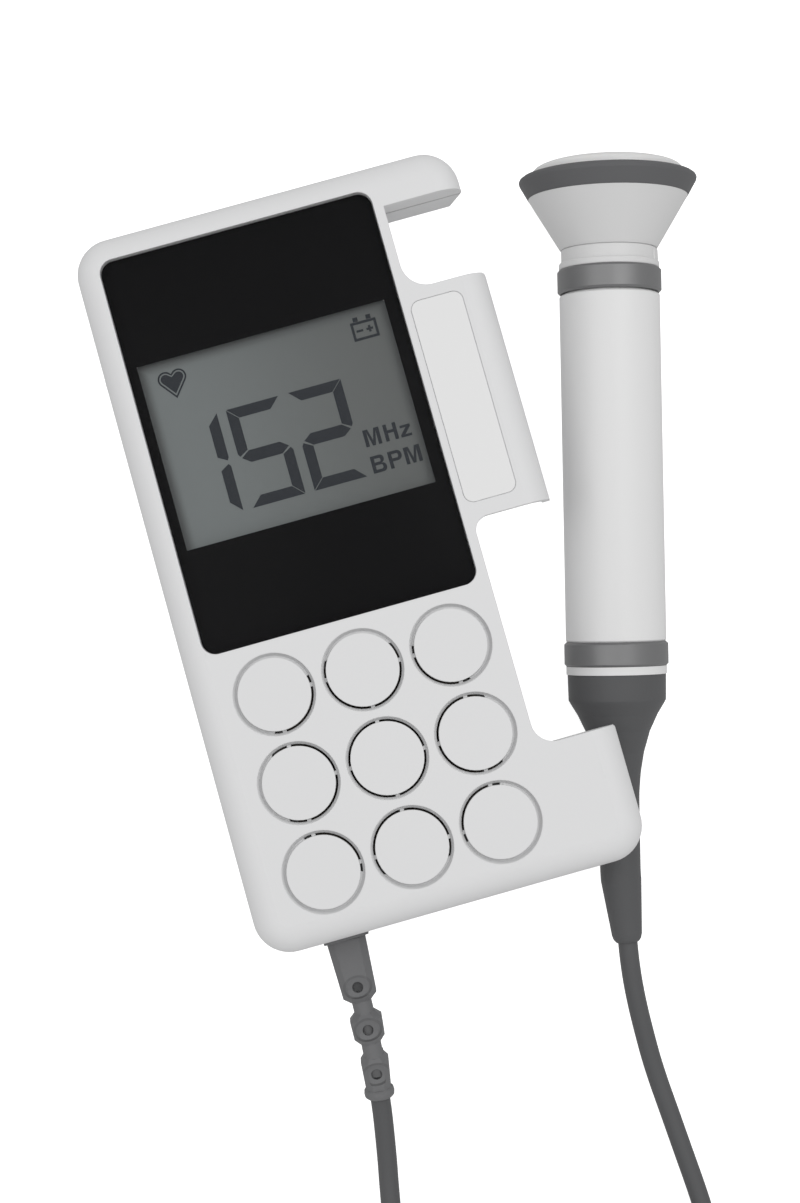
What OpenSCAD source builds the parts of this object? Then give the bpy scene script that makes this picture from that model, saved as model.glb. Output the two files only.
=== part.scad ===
// Handheld fetal doppler monitor with a corded pencil probe.
// The monitor lies on its back on the plane z = 0, face up; +Y points to its top edge.
// The origin is the middle of the flat back of the main housing.

/* [Monitor housing] */
// Overall length of the monitor
case_h = 140; // [132:0.5:150]
// Width of the full-depth part of the housing
stem_w = 60; // [59:0.5:64]
// Reach of the arm, tab and foot beyond the full-depth part
dock_reach = 15.5; // [13:0.5:17]
// Depth of the housing, back to face
case_d = 33; // [32:0.5:36]
// Depth of the front shell, face to parting line
front_d = 6; // [6:0.5:7]
// Corner radius of the outline
corner_r = 7; // [6:0.5:9]
// Rounding of the front edge
front_edge_r = 5; // [3.5:0.5:5]
// Rounding of the back edge
back_edge_r = 5; // [3:0.5:5]
// Wall of both shells
wall = 2; // [1.8:0.1:2.2]
// Wall of the thin side tab
tab_wall = 1.5; // [1.2:0.1:2]
// Width of the shadow gap between the shells
seam_gap = 0.3; // [0.2:0.05:0.5]

/* [Probe dock] */
// Depth of the arm and foot, measured from the face
arm_d = 14; // [13:0.5:15]
// Distance from the top edge to the underside of the arm
arm_h = 9; // [8:0.5:10]
// Distance from the top edge to the top of the tab
tab_top = 25.8; // [24:0.2:28]
// Distance from the top edge to the bottom of the tab
tab_end = 71; // [66:0.5:74]
// Height of the foot above the bottom edge
foot_h = 24.8; // [22:0.2:27]
// Corner radius where the tab's top meets the housing
tab_fillet = 5; // [3:0.5:6]
// Corner radius under the tab
under_tab_fillet = 2.9; // [2:0.1:4]
// Corner radius where the foot meets the housing
foot_fillet = 4.2; // [3:0.2:6]
// How far the probe channel is sunk into the housing's side
channel_sink = 2.2; // [1:0.2:2.6]
// Running room round a docked probe
dock_clearance = 0.5; // [0.3:0.1:0.8]

/* [Display] */
// Corner radius of the window
window_r = 2.7; // [1.5:0.1:4]
// Distance from the left edge of the housing to the window
window_left = 4.8; // [4.4:0.1:5]
// Distance from the window to the housing's dock side
window_right = 2; // [1.8:0.1:2.4]
// Distance from the top edge of the housing to the window
window_top = 5.1; // [4.6:0.1:6]
// Distance from the bottom edge of the housing to the window
window_bottom = 57.5; // [57:0.1:60]
// Thickness of the window
window_t = 1.5; // [1:0.1:1.8]
// Thickness of the printed black mask
mask_t = 0.2; // [0.1:0.05:0.3]
// Height of the clear opening in the mask
screen_h = 36.2; // [32:0.2:38]
// Distance from the window's left edge to the opening
screen_left = 1.9; // [1.6:0.1:2.4]
// Distance from the window's right edge to the opening
screen_right = 2.7; // [2.4:0.1:4]
// Distance from the window's top edge to the opening
screen_top = 20.9; // [16:0.1:24]

/* [Speaker grille] */
// Spacing of the grille discs
grille_pitch = 17.1; // [16.8:0.1:17.6]
// Radius of each flush disc
disc_r = 6.9; // [6:0.1:7]
// Radius of the groove round each disc
groove_r = 7.8; // [7.6:0.05:8.2]
// Depth of the groove
groove_depth = 0.8; // [0.5:0.1:1.1]
// Width of the sound slit in the groove
slit_w = 0.4; // [0.25:0.05:0.5]
// Width of the bridges that carry each disc
bridge_w = 0.8; // [0.6:0.05:1.2]
// Height of the middle disc above the bottom edge
grille_y = 30.2; // [29.5:0.1:31]
// Distance of the middle disc from the housing's dock side
grille_side = 27.5; // [27:0.1:28]
// Radius of the loudspeaker
speaker_r = 23; // [20:0.5:23]
// Width of the foam ring that seals it to the grille
gasket_w = 1.5; // [1.2:0.1:2]

/* [Side controls] */
// Radius of the power button
power_r = 3.6; // [3:0.1:4]
// Length of each volume button
volume_l = 9; // [8:0.5:10]
// Width of each volume button
volume_w = 5; // [4:0.2:6]
// Gap round each button
button_gap = 0.2; // [0.15:0.05:0.3]
// How far a button stands proud
button_proud = 0.5; // [0.3:0.1:1.2]
// Travel of a button
button_travel = 0.5; // [0.3:0.05:0.6]
// Radius of the headphone socket's bore
socket_r = 1.8; // [1.78:0.01:1.85]
// Length of the headphone socket's bore
socket_l = 12; // [11:0.5:14]

/* [Batteries] */
// Radius of a battery cell
cell_r = 7.25; // [7:0.05:7.3]
// Length of a battery cell
cell_l = 50.5; // [50:0.1:51]
// Thickness of the battery door
door_t = 1.9; // [1.7:0.1:2]
// Gap round the battery door
door_gap = 0.15; // [0.1:0.05:0.25]

/* [Probe] */
// Radius of the probe's white barrel
barrel_r = 9.9; // [9.4:0.1:10]
// Length of the white barrel between the grip bands
barrel_l = 67.8; // [60:0.2:75]
// Radius of the grip bands
band_r = 10.25; // [10.1:0.05:10.6]
// Length of each grip band
band_l = 4.8; // [4:0.2:6]
// Radius of the neck
neck_r = 9.4; // [9:0.1:9.6]
// Length of the neck and its collar
neck_l = 3.9; // [3.4:0.1:5]
// Length of the cone of the head
cone_l = 10.2; // [8:0.2:12]
// Radius of the head's dark rim
rim_r = 17.5; // [15.5:0.1:19]
// Length of the dark rim
rim_l = 4.3; // [3.6:0.1:5]
// Crown of the white sensing face
face_crown = 3.1; // [2:0.1:4]
// Wall of the probe's shells
probe_wall = 1.6; // [1.4:0.1:1.8]
// Turn of the probe away from the monitor's long direction
probe_turn = 14.53; // [10:0.01:18]

/* [Cable] */
// Diameter of the cable
cord_d = 3.9; // [3.6:0.1:3.9]
// Radius of the outermost turn of the coil
coil_r = 30.5; // [30.5:0.5:34]
// Turns in the coil, always a half over
coil_turns = 7.5; // [5.5:1:7.5]
// Spacing of the coil's turns and layers
coil_pitch = 4.35; // [4.35:0.05:4.6]

/* [Hidden] */

$fn = 64;
eps = 0.01;

// Places on the monitor
case_w = stem_w + dock_reach;
left = -stem_w / 2;
side = stem_w / 2;
right = side + dock_reach;
top = case_h / 2;
bottom = -case_h / 2;
mid_x = (left + right) / 2;
parting = case_d - front_d;
arm_z = case_d - arm_d;
arm_y = top - arm_h;
tab_top_y = top - tab_top;
tab_end_y = top - tab_end;
foot_y = bottom + foot_h;
inner_r = corner_r - wall;
seam_lip = 1.2;
tip_r = 0.8;
arm_slope = 14;

// Display stack, from the face down
window_gap = 0.1;
window_w = stem_w - window_left - window_right;
window_h = case_h - window_top - window_bottom;
window_x = left + window_left + window_w / 2;
window_y = top - window_top - window_h / 2;
screen_w = window_w - screen_left - screen_right;
screen_x = left + window_left + screen_left + screen_w / 2;
screen_y = top - window_top - screen_top - screen_h / 2;
mask_z = case_d - window_t - mask_t;
shelf_t = 1.5;
shelf_z = mask_z - shelf_t;
glass_t = 2.2;
glass_z = shelf_z - glass_t;
glass_w = screen_w + 3.4;
glass_h = screen_h + 6;
tray_h = glass_h - 6;

// Loudspeaker, and the part of the grille that sound goes through
speaker_x = side - grille_side;
speaker_y = bottom + grille_y;
sound_r = speaker_r - gasket_w;
face_inside = case_d - wall;
gasket_t = 0.8;
basket_t = 1;
basket_top = face_inside - gasket_t;
speaker_bottom = 20;
magnet_r = 9;
magnet_h = 4;
speaker_fit = 0.3;
speaker_collar = 1.1;

// Main board
board_t = 1.6;
board_top = 22.1;
board_z = board_top - board_t;
board_left = left + 4;
board_right = side - 3;
board_end_y = top - 13;
board_start_y = speaker_y + speaker_r + 4.7;
board_screw_r = 1.1;
board_boss_r = 2.6;
board_screw_x = side - 6.4;
board_screw_top_y = board_end_y - 3.4;
board_screw_low_y = board_start_y + 3.4;

// Case screws
screw_x = side - 6.5;
screw_y = top - 6.5;
screw_boss_r = 3.1;
screw_r = 1.2;
pilot_r = 1.25;
screw_hole_r = 1.5;
head_r = 2.4;
head_well_r = 2.7;
head_h = 1.8;
head_seat_z = 18;
screw_tip_z = parting + 2.6;

// Battery bay and door
cell_gap = 0.5;
cell_x = cell_r + cell_gap / 2;
bay_w = 4 * cell_r + 3 * cell_gap + 0.6;
contact_room = 2.4;
bay_l = cell_l + 2 * contact_room;
bay_start_y = bottom + 10;
bay_end_y = bay_start_y + bay_l;
bay_wall = 1.5;
cell_z = wall + 1 + cell_r;
bay_top = cell_z + cell_r + 0.35;
door_sink = 0.3;
door_w = bay_w + 1.6;
tongue = 1.4;
tongue_z = 1.3;
door_end_y = bay_end_y + 1.2;
rail_w = door_w + 2 * tongue + 3;
rail_top = wall + door_sink + 2;
contact_t = 0.4;

// Side controls, on the left wall under the main board, above the battery bay
control_z = 18.4;
socket_body = 6;
socket_barrel_r = 2.9;
socket_y = bay_end_y + bay_wall + socket_body / 2 + 5.2;
socket_z = 17.9;
volume_down_y = socket_y + volume_l / 2 + 5.1;
volume_up_y = volume_down_y + volume_l + 2.3;
power_y = board_end_y - 13;
collar_out = 1;
collar_t = 0.9;
button_seat = 0.05;
switch_w = 6;
switch_d = 4;
switch_h = 4;
plunger_r = 1.2;
plunger_l = 0.8;
switch_x = board_left + 1.3;

// Probe, measured along its own axis from the middle of the lower band
band_half = band_l / 2;
end_ring_l = 1.6;
end_ring_z = -band_half - end_ring_l;
barrel_start = band_half + 0.3;
barrel_end = barrel_start + barrel_l;
upper_band_z = barrel_end + 0.6;
neck_z = upper_band_z + band_l;
collar_l = 1.3;
collar_tab_w = 9;
cone_z = neck_z + neck_l;
rim_z = cone_z + cone_l;
face_z = rim_z + rim_l;
rim_inner_r = rim_r - 2.7;
crystal_r = rim_inner_r - 2.8;
crystal_t = 0.8;
backing_r = crystal_r + 0.4;
cone_top_r = rim_r - 1.8;
cone_bottom_r = neck_r + 0.1;
band_seat_r = barrel_r - 1;
bore_r = band_seat_r - probe_wall + 0.4;
face_ball_r = (pow(rim_inner_r, 2) + pow(face_crown, 2)) / (2 * face_crown);
rim_widest = rim_z + rim_l * 0.8;
band_ease = 0.45;
// The probe lies on its rim and on the lower band's edge, so its tilt follows from their radii
band_contact = band_half - band_ease;
probe_tilt = atan((rim_r - band_r) / (rim_widest + band_contact));
probe_x = side + 21.7;
probe_y = bottom + 37.8;
probe_z = band_r * cos(probe_tilt) + band_contact * sin(probe_tilt);

// Boot of the probe, measured down from the end ring
boot_r = 9.6;
boot_sleeve_l = 5.4;
boot_bend = 38.2;
boot_bend_angle = 5;
boot_bend_r = 30;
boot_waist_r = 4;
boot_tail_l = 12.2;
boot_tail_r = 2.95;

// Strain relief where the cable leaves the monitor
relief_x = left + 15.4;
relief_z = 11;
plug_w = 6;
plug_x = -bay_w / 2 - bay_wall - plug_w / 2 - 1.45;
plug_l = 5;
plug_d = 6.1;
plug_y = socket_y - socket_body / 2 - 2 - plug_l;
plug_wire_z = board_z - 4.1;
relief_hole_r = 3.1;
relief_neck_r = 3;
relief_bar_r = 1.95;

// Cable: points chosen by hand; the coil's turns come from a formula
cord_r = cord_d / 2;
coil_x = 8;
coil_y = -171;
coil_sides = 6;
coil_rings = 24;
leg_sides = 8;
monitor_leg_route = [
    [-16.68, -103.18, 6.07], [-17.2, -106.9, 5.06], [-18, -111.6, 3.8], [-18.9, -116.5, 2.7],
    [-19.8, -121, 2.1], [-20.8, -126.5, 1.95], [-21.7, -133, 1.95], [-22.3, -140, 1.95],
    [-22.5, -147, 1.95],
    [-22.5, -155, 1.95], [-22.5, -162, 1.95], [-22.5, -167.1, 1.95]
];
probe_leg_route = [
    [38.58, -87.53, 6.04], [37.94, -91.36, 5.74], [37.4, -96, 5.2], [37.1, -101, 4.4],
    [37, -106, 3.6], [37, -111, 2.8], [37.2, -116, 2.25], [37.6, -122, 1.95],
    [38.1, -130, 1.95], [38.6, -138, 1.95], [38.8, -145, 2.2], [38.7, -152, 3.3],
    [38.5, -158, 4.8], [38.5, -163, 6], [38.5, -167.1, 6.3]
];
inner_lead_route = [
    [relief_x, bottom + 3.7, relief_z], [relief_x - 0.6, bottom + 5.2, relief_z],
    [relief_x - 2.2, bottom + 6.1, relief_z], [plug_x + 2.9, bottom + 8.2, relief_z],
    [plug_x + 1.9, bottom + 11.6, relief_z], [plug_x + 0.9, bottom + 17, relief_z],
    [plug_x + 0.1, bottom + 24, relief_z], [plug_x, bottom + 34, relief_z],
    [plug_x, plug_y - 21, relief_z], [plug_x, plug_y - 14, relief_z + 1.2],
    [plug_x, plug_y - 8, relief_z + 3.6], [plug_x, plug_y - 3.5, plug_wire_z],
    [plug_x, plug_y - 0.05, plug_wire_z]
];
inner_lead_d = 2;

// ---------- plane outlines ----------

// A rectangle about the origin with round corners.
module round_rect(w, h, r) {
    square([w - 2 * r, h], center = true);
    square([w, h - 2 * r], center = true);
    for (x = [-1, 1])
        for (y = [-1, 1])
            translate([x * (w / 2 - r), y * (h / 2 - r)]) circle(r);
}

// What a round corner of radius r takes off a square corner at [x, y]; [sx, sy] points into the rectangle.
module corner_waste(x, y, sx, sy, r) {
    translate([x, y])
        difference() {
            translate([min(0, sx * r), min(0, sy * r)]) square(r);
            translate([sx * r, sy * r]) circle(r);
        }
}

// A rectangle between two corners, with its left corners rounded.
module left_round_rect(x0, y0, x1, y1, r_low, r_high) {
    difference() {
        translate([x0, y0]) square([x1 - x0, y1 - y0]);
        if (r_low > 0) corner_waste(x0, y0, 1, 1, r_low);
        if (r_high > 0) corner_waste(x0, y1, 1, -1, r_high);
    }
}

// The dock side is open from the foot to the arm; grow moves its edges outwards.
module dock_outline(grow = 0) {
    left_round_rect(side - grow, foot_y - grow, right + 20, arm_y + grow, foot_fillet + grow, 0);
}

// ---------- solid helpers ----------

// A slab about the z axis whose corners and upper edge are round.
module round_slab(w, h, d, r, e) {
    linear_extrude(d - e) round_rect(w, h, r);
    linear_extrude(d) round_rect(w - 2 * e, h - 2 * e, r - e);
    for (x = [-1, 1])
        for (y = [-1, 1])
            translate([x * (w / 2 - r), y * (h / 2 - r), d - e])
                rotate_extrude() edge_profile(r, e);
    for (a = [0, 180]) {
        rotate(a) translate([w / 2 - r, 0, d - e]) edge_run(h - 2 * r, r, e);
        rotate(a + 90) translate([h / 2 - r, 0, d - e]) edge_run(w - 2 * r, r, e);
    }
}

// Half section of a slab's rounded corner.
module edge_profile(r, e) {
    square([r - e, e]);
    translate([r - e, 0])
        intersection() {
            circle(e);
            square(e);
        }
}

// A straight run of the rounded edge, of length l, facing +X.
module edge_run(l, r, e) {
    translate([0, l / 2, 0]) rotate([90, 0, 0]) linear_extrude(l) edge_profile(r, e);
}

// The same slab with its round edge downwards, standing on z = 0.
module round_slab_down(w, h, d, r, e) {
    translate([0, 0, d]) mirror([0, 0, 1]) round_slab(w, h, d, r, e);
}

// A flat ring.
module ring(r_out, r_in, h) {
    difference() {
        cylinder(r = r_out, h = h);
        translate([0, 0, -eps]) cylinder(r = r_in, h = h + 2 * eps);
    }
}

// A solid of revolution from points [radius, height].
module revolve(points) {
    rotate_extrude() polygon(points);
}

// Places its children on the probe's axis, at height s above the middle of the lower band.
module on_probe(s = 0) {
    translate([probe_x, probe_y, probe_z])
        rotate([-(90 - probe_tilt), 0, -probe_turn])
            translate([0, 0, s]) children();
}

// Places its children, drawn along +Z, on the left wall pointing out of it.
module on_left_wall(y, z = control_z) {
    translate([left, y, z]) rotate([0, -90, 0]) children();
}

// A stadium of length l along Y and width w, drawn flat.
module stadium(l, w) {
    square([w, l - w], center = true);
    for (y = [-1, 1]) translate([0, y * (l - w) / 2]) circle(w / 2);
}

// ---------- swept tubes ----------

function unit(v) = v / norm(v);
function run_at(p, i) =
    i == 0 ? unit(p[1] - p[0]) :
    i == len(p) - 1 ? unit(p[i] - p[i - 1]) :
    unit(unit(p[i + 1] - p[i]) + unit(p[i] - p[i - 1]));

// Corners of one ring of the tube at point i; its frame is kept level.
function tube_ring(p, i, r, sides) =
    let (
        t = run_at(p, i),
        u = unit(cross(t, [0, 0, 1])),
        v = cross(u, t)
    )
    [for (k = [0:sides - 1]) p[i] + r * (cos(360 * (k + 0.5) / sides) * u + sin(360 * (k + 0.5) / sides) * v)];

// One unbroken tube along the points p.
module tube(p, r, sides) {
    n = len(p);
    points = [for (i = [0:n - 1]) each tube_ring(p, i, r, sides)];
    walls = [
        for (i = [0:n - 2])
            for (k = [0:sides - 1])
                let (a = i * sides + k, b = i * sides + (k + 1) % sides)
                each [[a, a + sides, b + sides], [a, b + sides, b]]
    ];
    first = [for (k = [1:sides - 2]) [0, k, k + 1]];
    last = [for (k = [1:sides - 2]) [(n - 1) * sides, (n - 1) * sides + k + 1, (n - 1) * sides + k]];
    polyhedron(points, concat(walls, first, last));
}

// The coil spirals in along the table, climbs one layer in half a turn, and spirals out again.
coil_start_angle = 180;
function coil_radius(u) = coil_r - coil_pitch * min(u, coil_turns - u);
function coil_lift(u) =
    let (s = min(1, max(0, (u - coil_turns / 2 + 0.25) / 0.5)))
    coil_pitch * s * s * (3 - 2 * s);
function coil_point(u) =
    let (a = coil_start_angle + 360 * u, r = coil_radius(u))
    [coil_x + r * cos(a), coil_y + r * sin(a), cord_r + coil_lift(u)];
coil_steps = coil_turns * coil_rings;
coil_route = concat(
    [[coil_x - coil_r, coil_y + cord_d, cord_r]],
    [for (i = [0:coil_steps]) coil_point(i / coil_rings)],
    [[coil_x + coil_r, coil_y + cord_d, cord_r + coil_pitch]]
);
// Least gap between the skins of points that are at least half a turn apart.
coil_gap = min([
    for (i = [0:len(coil_route) - 1])
        for (j = [i + coil_rings / 2:1:len(coil_route) - 1])
            norm(coil_route[i] - coil_route[j]) - cord_d
]);
function route_length(p) = [for (i = 1, s = 0; i < len(p); s = s + norm(p[i] - p[i - 1]), i = i + 1)
    s + norm(p[i] - p[i - 1])][len(p) - 2];
echo(coil_gap = coil_gap);
echo(cable_length = route_length(monitor_leg_route) + route_length(coil_route) + route_length(probe_leg_route));

// ---------- monitor shells ----------

// Everything inside the front shell's outer surface, before it is cut.
module front_blank() {
    translate([mid_x, 0, parting]) round_slab(case_w, case_h, front_d, corner_r, front_edge_r);
}

// The two notches that open the dock to the front, above and below the tab.
module front_notches() {
    translate([0, 0, parting - 1]) linear_extrude(front_d + 2) {
        left_round_rect(side, tab_top_y, right + 5, arm_y, tab_fillet, 0);
        left_round_rect(side, foot_y, right + 5, tab_end_y, foot_fillet, under_tab_fillet);
        corner_waste(right, tab_top_y, -1, -1, tip_r);
        corner_waste(right, foot_y, -1, -1, tip_r);
    }
}

// Hollow of the front shell: the housing, arm and foot, but not the tab.
module front_hollow() {
    difference() {
        translate([mid_x, 0, parting - eps])
            round_slab(case_w - 2 * wall, case_h - 2 * wall, front_d - wall + eps, inner_r,
                front_edge_r - wall);
        translate([0, 0, parting - 1]) linear_extrude(front_d) dock_outline(wall);
        display_shelf();
        for (x = [-1, 1])
            for (y = [-1, 1])
                translate([x * screw_x, y * screw_y, parting]) cylinder(r = screw_boss_r, h = front_d);
        translate([speaker_x, speaker_y, basket_top - basket_t])
            ring(speaker_r + speaker_fit + speaker_collar, speaker_r + speaker_fit, gasket_t + basket_t + eps);
    }
}

// The thin floor under the display window, which also carries the board's bosses.
module display_shelf() {
    shelf_start_y = window_y - window_h / 2 - 1.4;
    translate([left, shelf_start_y, shelf_z])
        cube([stem_w, top - shelf_start_y, shelf_t + eps]);
    for (x = [-1, 1])
        for (y = [board_screw_low_y, board_screw_top_y])
            translate([x * board_screw_x, y, parting]) cylinder(r = board_boss_r, h = shelf_z - parting + eps);
}

// Hollow under the tab, open at both ends.
module tab_hollow() {
    intersection() {
        translate([mid_x, 0, parting - 1])
            round_slab(case_w - 2 * tab_wall, case_h - 2 * wall, front_d - tab_wall + 1, inner_r,
                front_edge_r - tab_wall);
        translate([side, foot_y - eps, parting - 1])
            cube([dock_reach + 1, arm_y - foot_y + 2 * eps, front_d + 1]);
    }
}

// The sloping groove round one disc of the grille.
module disc_groove() {
    revolve([
        [disc_r, case_d - groove_depth], [disc_r + slit_w, case_d - groove_depth],
        [groove_r, case_d + eps], [disc_r, case_d + eps]
    ]);
}

// The slit at the bottom of one groove, crossed by the four bridges that carry the disc.
module disc_slit() {
    difference() {
        translate([0, 0, face_inside - 1]) ring(disc_r + slit_w, disc_r, wall + 1 - groove_depth / 2);
        for (a = [0, 90])
            rotate(a)
                translate([-groove_r, -bridge_w / 2, face_inside - 2])
                    cube([2 * groove_r, bridge_w, wall + 2 - groove_depth]);
    }
}

// Nine discs in a square. Their slits are open only in front of the loudspeaker's cone.
module grille_cuts() {
    for (x = [-1:1])
        for (y = [-1:1])
            translate([x * grille_pitch, y * grille_pitch, 0]) disc_groove();
    intersection() {
        translate([0, 0, face_inside - 1]) cylinder(r = sound_r, h = wall + 1);
        for (x = [-1:1])
            for (y = [-1:1])
                translate([x * grille_pitch, y * grille_pitch, 0]) disc_slit();
    }
}

module front_case() {
    color("gainsboro")
        difference() {
            union() {
                difference() {
                    front_blank();
                    front_notches();
                    front_hollow();
                    tab_hollow();
                }
                for (x = [-1, 1])
                    for (y = [board_screw_low_y, board_screw_top_y])
                        translate([x * board_screw_x, y, board_top])
                            cylinder(r = board_boss_r, h = parting - board_top + 1);
            }
            // Seat of the window and its mask
            translate([window_x, window_y, mask_z])
                linear_extrude(window_t + mask_t + 1)
                    round_rect(window_w + 2 * window_gap, window_h + 2 * window_gap, window_r + window_gap);
            // Opening over the liquid crystal glass
            translate([screen_x, screen_y, shelf_z - 1])
                linear_extrude(shelf_t + 2) round_rect(screen_w + 0.8, screen_h + 0.8, 1);
            translate([speaker_x, speaker_y, 0]) grille_cuts();
            for (x = [-1, 1])
                for (y = [-1, 1])
                    translate([x * screw_x, y * screw_y, parting - eps])
                        cylinder(r = pilot_r, h = screw_tip_z - parting + 0.4);
            for (x = [-1, 1])
                for (y = [board_screw_low_y, board_screw_top_y])
                    translate([x * board_screw_x, y, board_top - eps])
                        cylinder(r = board_screw_r - 0.15, h = 5);
            label_seat();
            seam_rabbet();
        }
}

// Step round the front shell's lower edge that takes the rear shell's lip.
module seam_rabbet() {
    translate([0, 0, parting - eps])
        linear_extrude(seam_lip + eps)
            difference() {
                seam_outline(1);
                seam_outline(wall + eps);
            }
}

// Outline of the rear shell at the seam, moved inwards by inset.
module seam_outline(inset) {
    difference() {
        translate([mid_x, 0]) round_rect(case_w - 2 * inset, case_h - 2 * inset, corner_r - inset);
        dock_outline(inset);
    }
}

// The probe's channel along the housing's side; the docked probe lies in it.
dock_axis_x = side - channel_sink + barrel_r + dock_clearance;
dock_axis_z = arm_z - 0.1 - barrel_r - dock_clearance;
module dock_channel() {
    translate([dock_axis_x, top + 1, dock_axis_z])
        rotate([90, 0, 0]) cylinder(r = barrel_r + dock_clearance, h = case_h + 2);
}

// Everything inside the rear shell's outer surface.
module rear_blank() {
    round_slab_down(stem_w, case_h, parting - seam_gap, corner_r, back_edge_r);
    difference() {
        translate([mid_x, 0, arm_z])
            round_slab_down(case_w, case_h, parting - seam_gap - arm_z, corner_r, 1.5);
        translate([0, 0, arm_z - 1]) linear_extrude(front_d + arm_d) dock_outline();
        translate([left - 1, bottom - 1, arm_z - 1]) cube([stem_w / 2, case_h + 2, arm_d]);
        // The ends of the arm and foot lean inwards towards the back
        translate([right, -top, parting]) rotate([0, arm_slope, 0])
            translate([0, -1, -arm_d]) cube([5, case_h + 2, arm_d]);
    }
}

// Hollow of the rear shell.
module rear_hollow() {
    difference() {
        translate([0, 0, wall])
            round_slab_down(stem_w - 2 * wall, case_h - 2 * wall, parting - wall + 1, inner_r,
                back_edge_r - wall);
        dock_wall();
    }
    difference() {
        translate([mid_x, 0, arm_z + wall])
            round_slab_down(case_w - 2 * wall - 4, case_h - 2 * wall, parting - arm_z, inner_r, 0.5);
        translate([0, 0, arm_z]) linear_extrude(front_d + arm_d) dock_outline(wall);
        translate([left - 1, bottom - 1, arm_z - 1]) cube([stem_w / 2, case_h + 2, arm_d]);
    }
}

// Solid that keeps a full wall behind the probe's channel.
module dock_wall() {
    translate([dock_axis_x, top + 1, dock_axis_z])
        rotate([90, 0, 0]) cylinder(r = barrel_r + dock_clearance + wall, h = case_h + 2);
}

// Columns that carry the case screws.
module screw_columns() {
    for (x = [-1, 1])
        for (y = [-1, 1])
            translate([x * screw_x, y * screw_y, 1])
                cylinder(r = screw_boss_r + 0.6, h = parting - 1 - 0.1);
}

// Walls and roof of the battery bay, with the door's rails beside it.
module bay_shell() {
    translate([-bay_w / 2 - bay_wall, bay_start_y - bay_wall, 1])
        cube([bay_w + 2 * bay_wall, bay_l + 2 * bay_wall, bay_top + bay_wall - 1]);
    translate([-rail_w / 2, bottom + 1, 1]) cube([rail_w, door_end_y - bottom + 1, rail_top - 1]);
}

// Everything that the battery bay and its sliding door need cut away.
module bay_cuts() {
    translate([-bay_w / 2, bay_start_y, -1]) cube([bay_w, bay_l, bay_top + 1]);
    translate([-door_w / 2 - door_gap, bottom - 1, -1])
        cube([door_w + 2 * door_gap, door_end_y + door_gap - bottom + 1, 1 + door_sink + door_t + door_gap]);
    translate([-door_w / 2 - tongue - door_gap, bottom - 1, tongue_z - door_gap])
        cube([door_w + 2 * tongue + 2 * door_gap, door_end_y - 4 - bottom + 1,
            door_sink + door_t - tongue_z + 2 * door_gap]);
}

module rear_case() {
    color("gainsboro")
        difference() {
            union() {
                difference() {
                    rear_blank();
                    rear_hollow();
                }
                intersection() {
                    rear_blank();
                    union() {
                        screw_columns();
                        bay_shell();
                    }
                }
                // Lip that locates the front shell
                translate([0, 0, parting - seam_gap - 1.5])
                    linear_extrude(1.5 + seam_gap + seam_lip - 0.15)
                        difference() {
                            seam_outline(1.1);
                            seam_outline(wall);
                        }
            }
            dock_channel();
            bay_cuts();
            for (x = [-1, 1])
                for (y = [-1, 1])
                    translate([x * screw_x, y * screw_y, -1]) {
                        cylinder(r = screw_hole_r, h = parting + 2);
                        cylinder(r = head_well_r, h = head_seat_z + 1);
                    }
            button_openings();
            translate([relief_x, bottom - 1, relief_z])
                rotate([-90, 0, 0]) cylinder(r = relief_hole_r, h = wall + 2);
        }
}

// Openings in the left wall for the buttons and the socket.
module button_openings() {
    on_left_wall(power_y) translate([0, 0, -wall - 1]) cylinder(r = power_r + button_gap, h = wall + 2);
    for (y = [volume_up_y, volume_down_y])
        on_left_wall(y)
            translate([0, 0, -wall - 1])
                linear_extrude(wall + 2) stadium(volume_l + 2 * button_gap, volume_w + 2 * button_gap);
    on_left_wall(socket_y, socket_z)
        translate([0, 0, -wall - 1]) cylinder(r = socket_barrel_r + 0.1, h = wall + 2);
}

// Shallow seat for the bare label on the tab.
label_w = 10;
label_h = 39.6;
label_t = 0.2;
label_x = side - 0.35 + label_w / 2;
label_y = (tab_top_y + tab_end_y) / 2 + 0.3;
module label_seat() {
    translate([label_x, label_y, case_d - label_t])
        linear_extrude(1) round_rect(label_w + 0.2, label_h + 0.2, 1.9);
}

module tab_label() {
    color("whitesmoke")
        translate([label_x, label_y, case_d - label_t])
            linear_extrude(label_t) round_rect(label_w, label_h, 1.8);
}

// ---------- display ----------

module display_window() {
    color([0.1, 0.1, 0.11, 0.5])
        translate([window_x, window_y, case_d - window_t])
            linear_extrude(window_t) round_rect(window_w, window_h, window_r);
}

module window_mask() {
    color("black")
        translate([0, 0, mask_z])
            linear_extrude(mask_t)
                difference() {
                    translate([window_x, window_y]) round_rect(window_w, window_h, window_r);
                    translate([screen_x, screen_y]) square([screen_w, screen_h], center = true);
                }
}

module lcd_glass() {
    color("darkgray")
        translate([screen_x - glass_w / 2, screen_y - glass_h / 2, glass_z]) cube([glass_w, glass_h, glass_t]);
}

// Diffuser tray that holds the glass up from the board.
module lcd_tray() {
    tray_d = glass_z - board_top;
    color("white")
        difference() {
            translate([screen_x - glass_w / 2, screen_y - tray_h / 2, board_top])
                cube([glass_w, tray_h, tray_d]);
            translate([screen_x - glass_w / 2 + 1.2, screen_y - tray_h / 2 + 1.2, board_top - eps])
                cube([glass_w - 2.4, tray_h - 2.4, tray_d - 2]);
        }
}

// Two rubber contact strips that join the glass to the board.
module contact_strips() {
    color("dimgray")
        for (y = [-1, 1])
            translate([screen_x - glass_w / 2 + 2, screen_y + y * (tray_h / 2 + 1.6) - 1, board_top])
                cube([glass_w - 4, 2, glass_z - board_top]);
}

// ---------- electronics ----------

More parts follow.
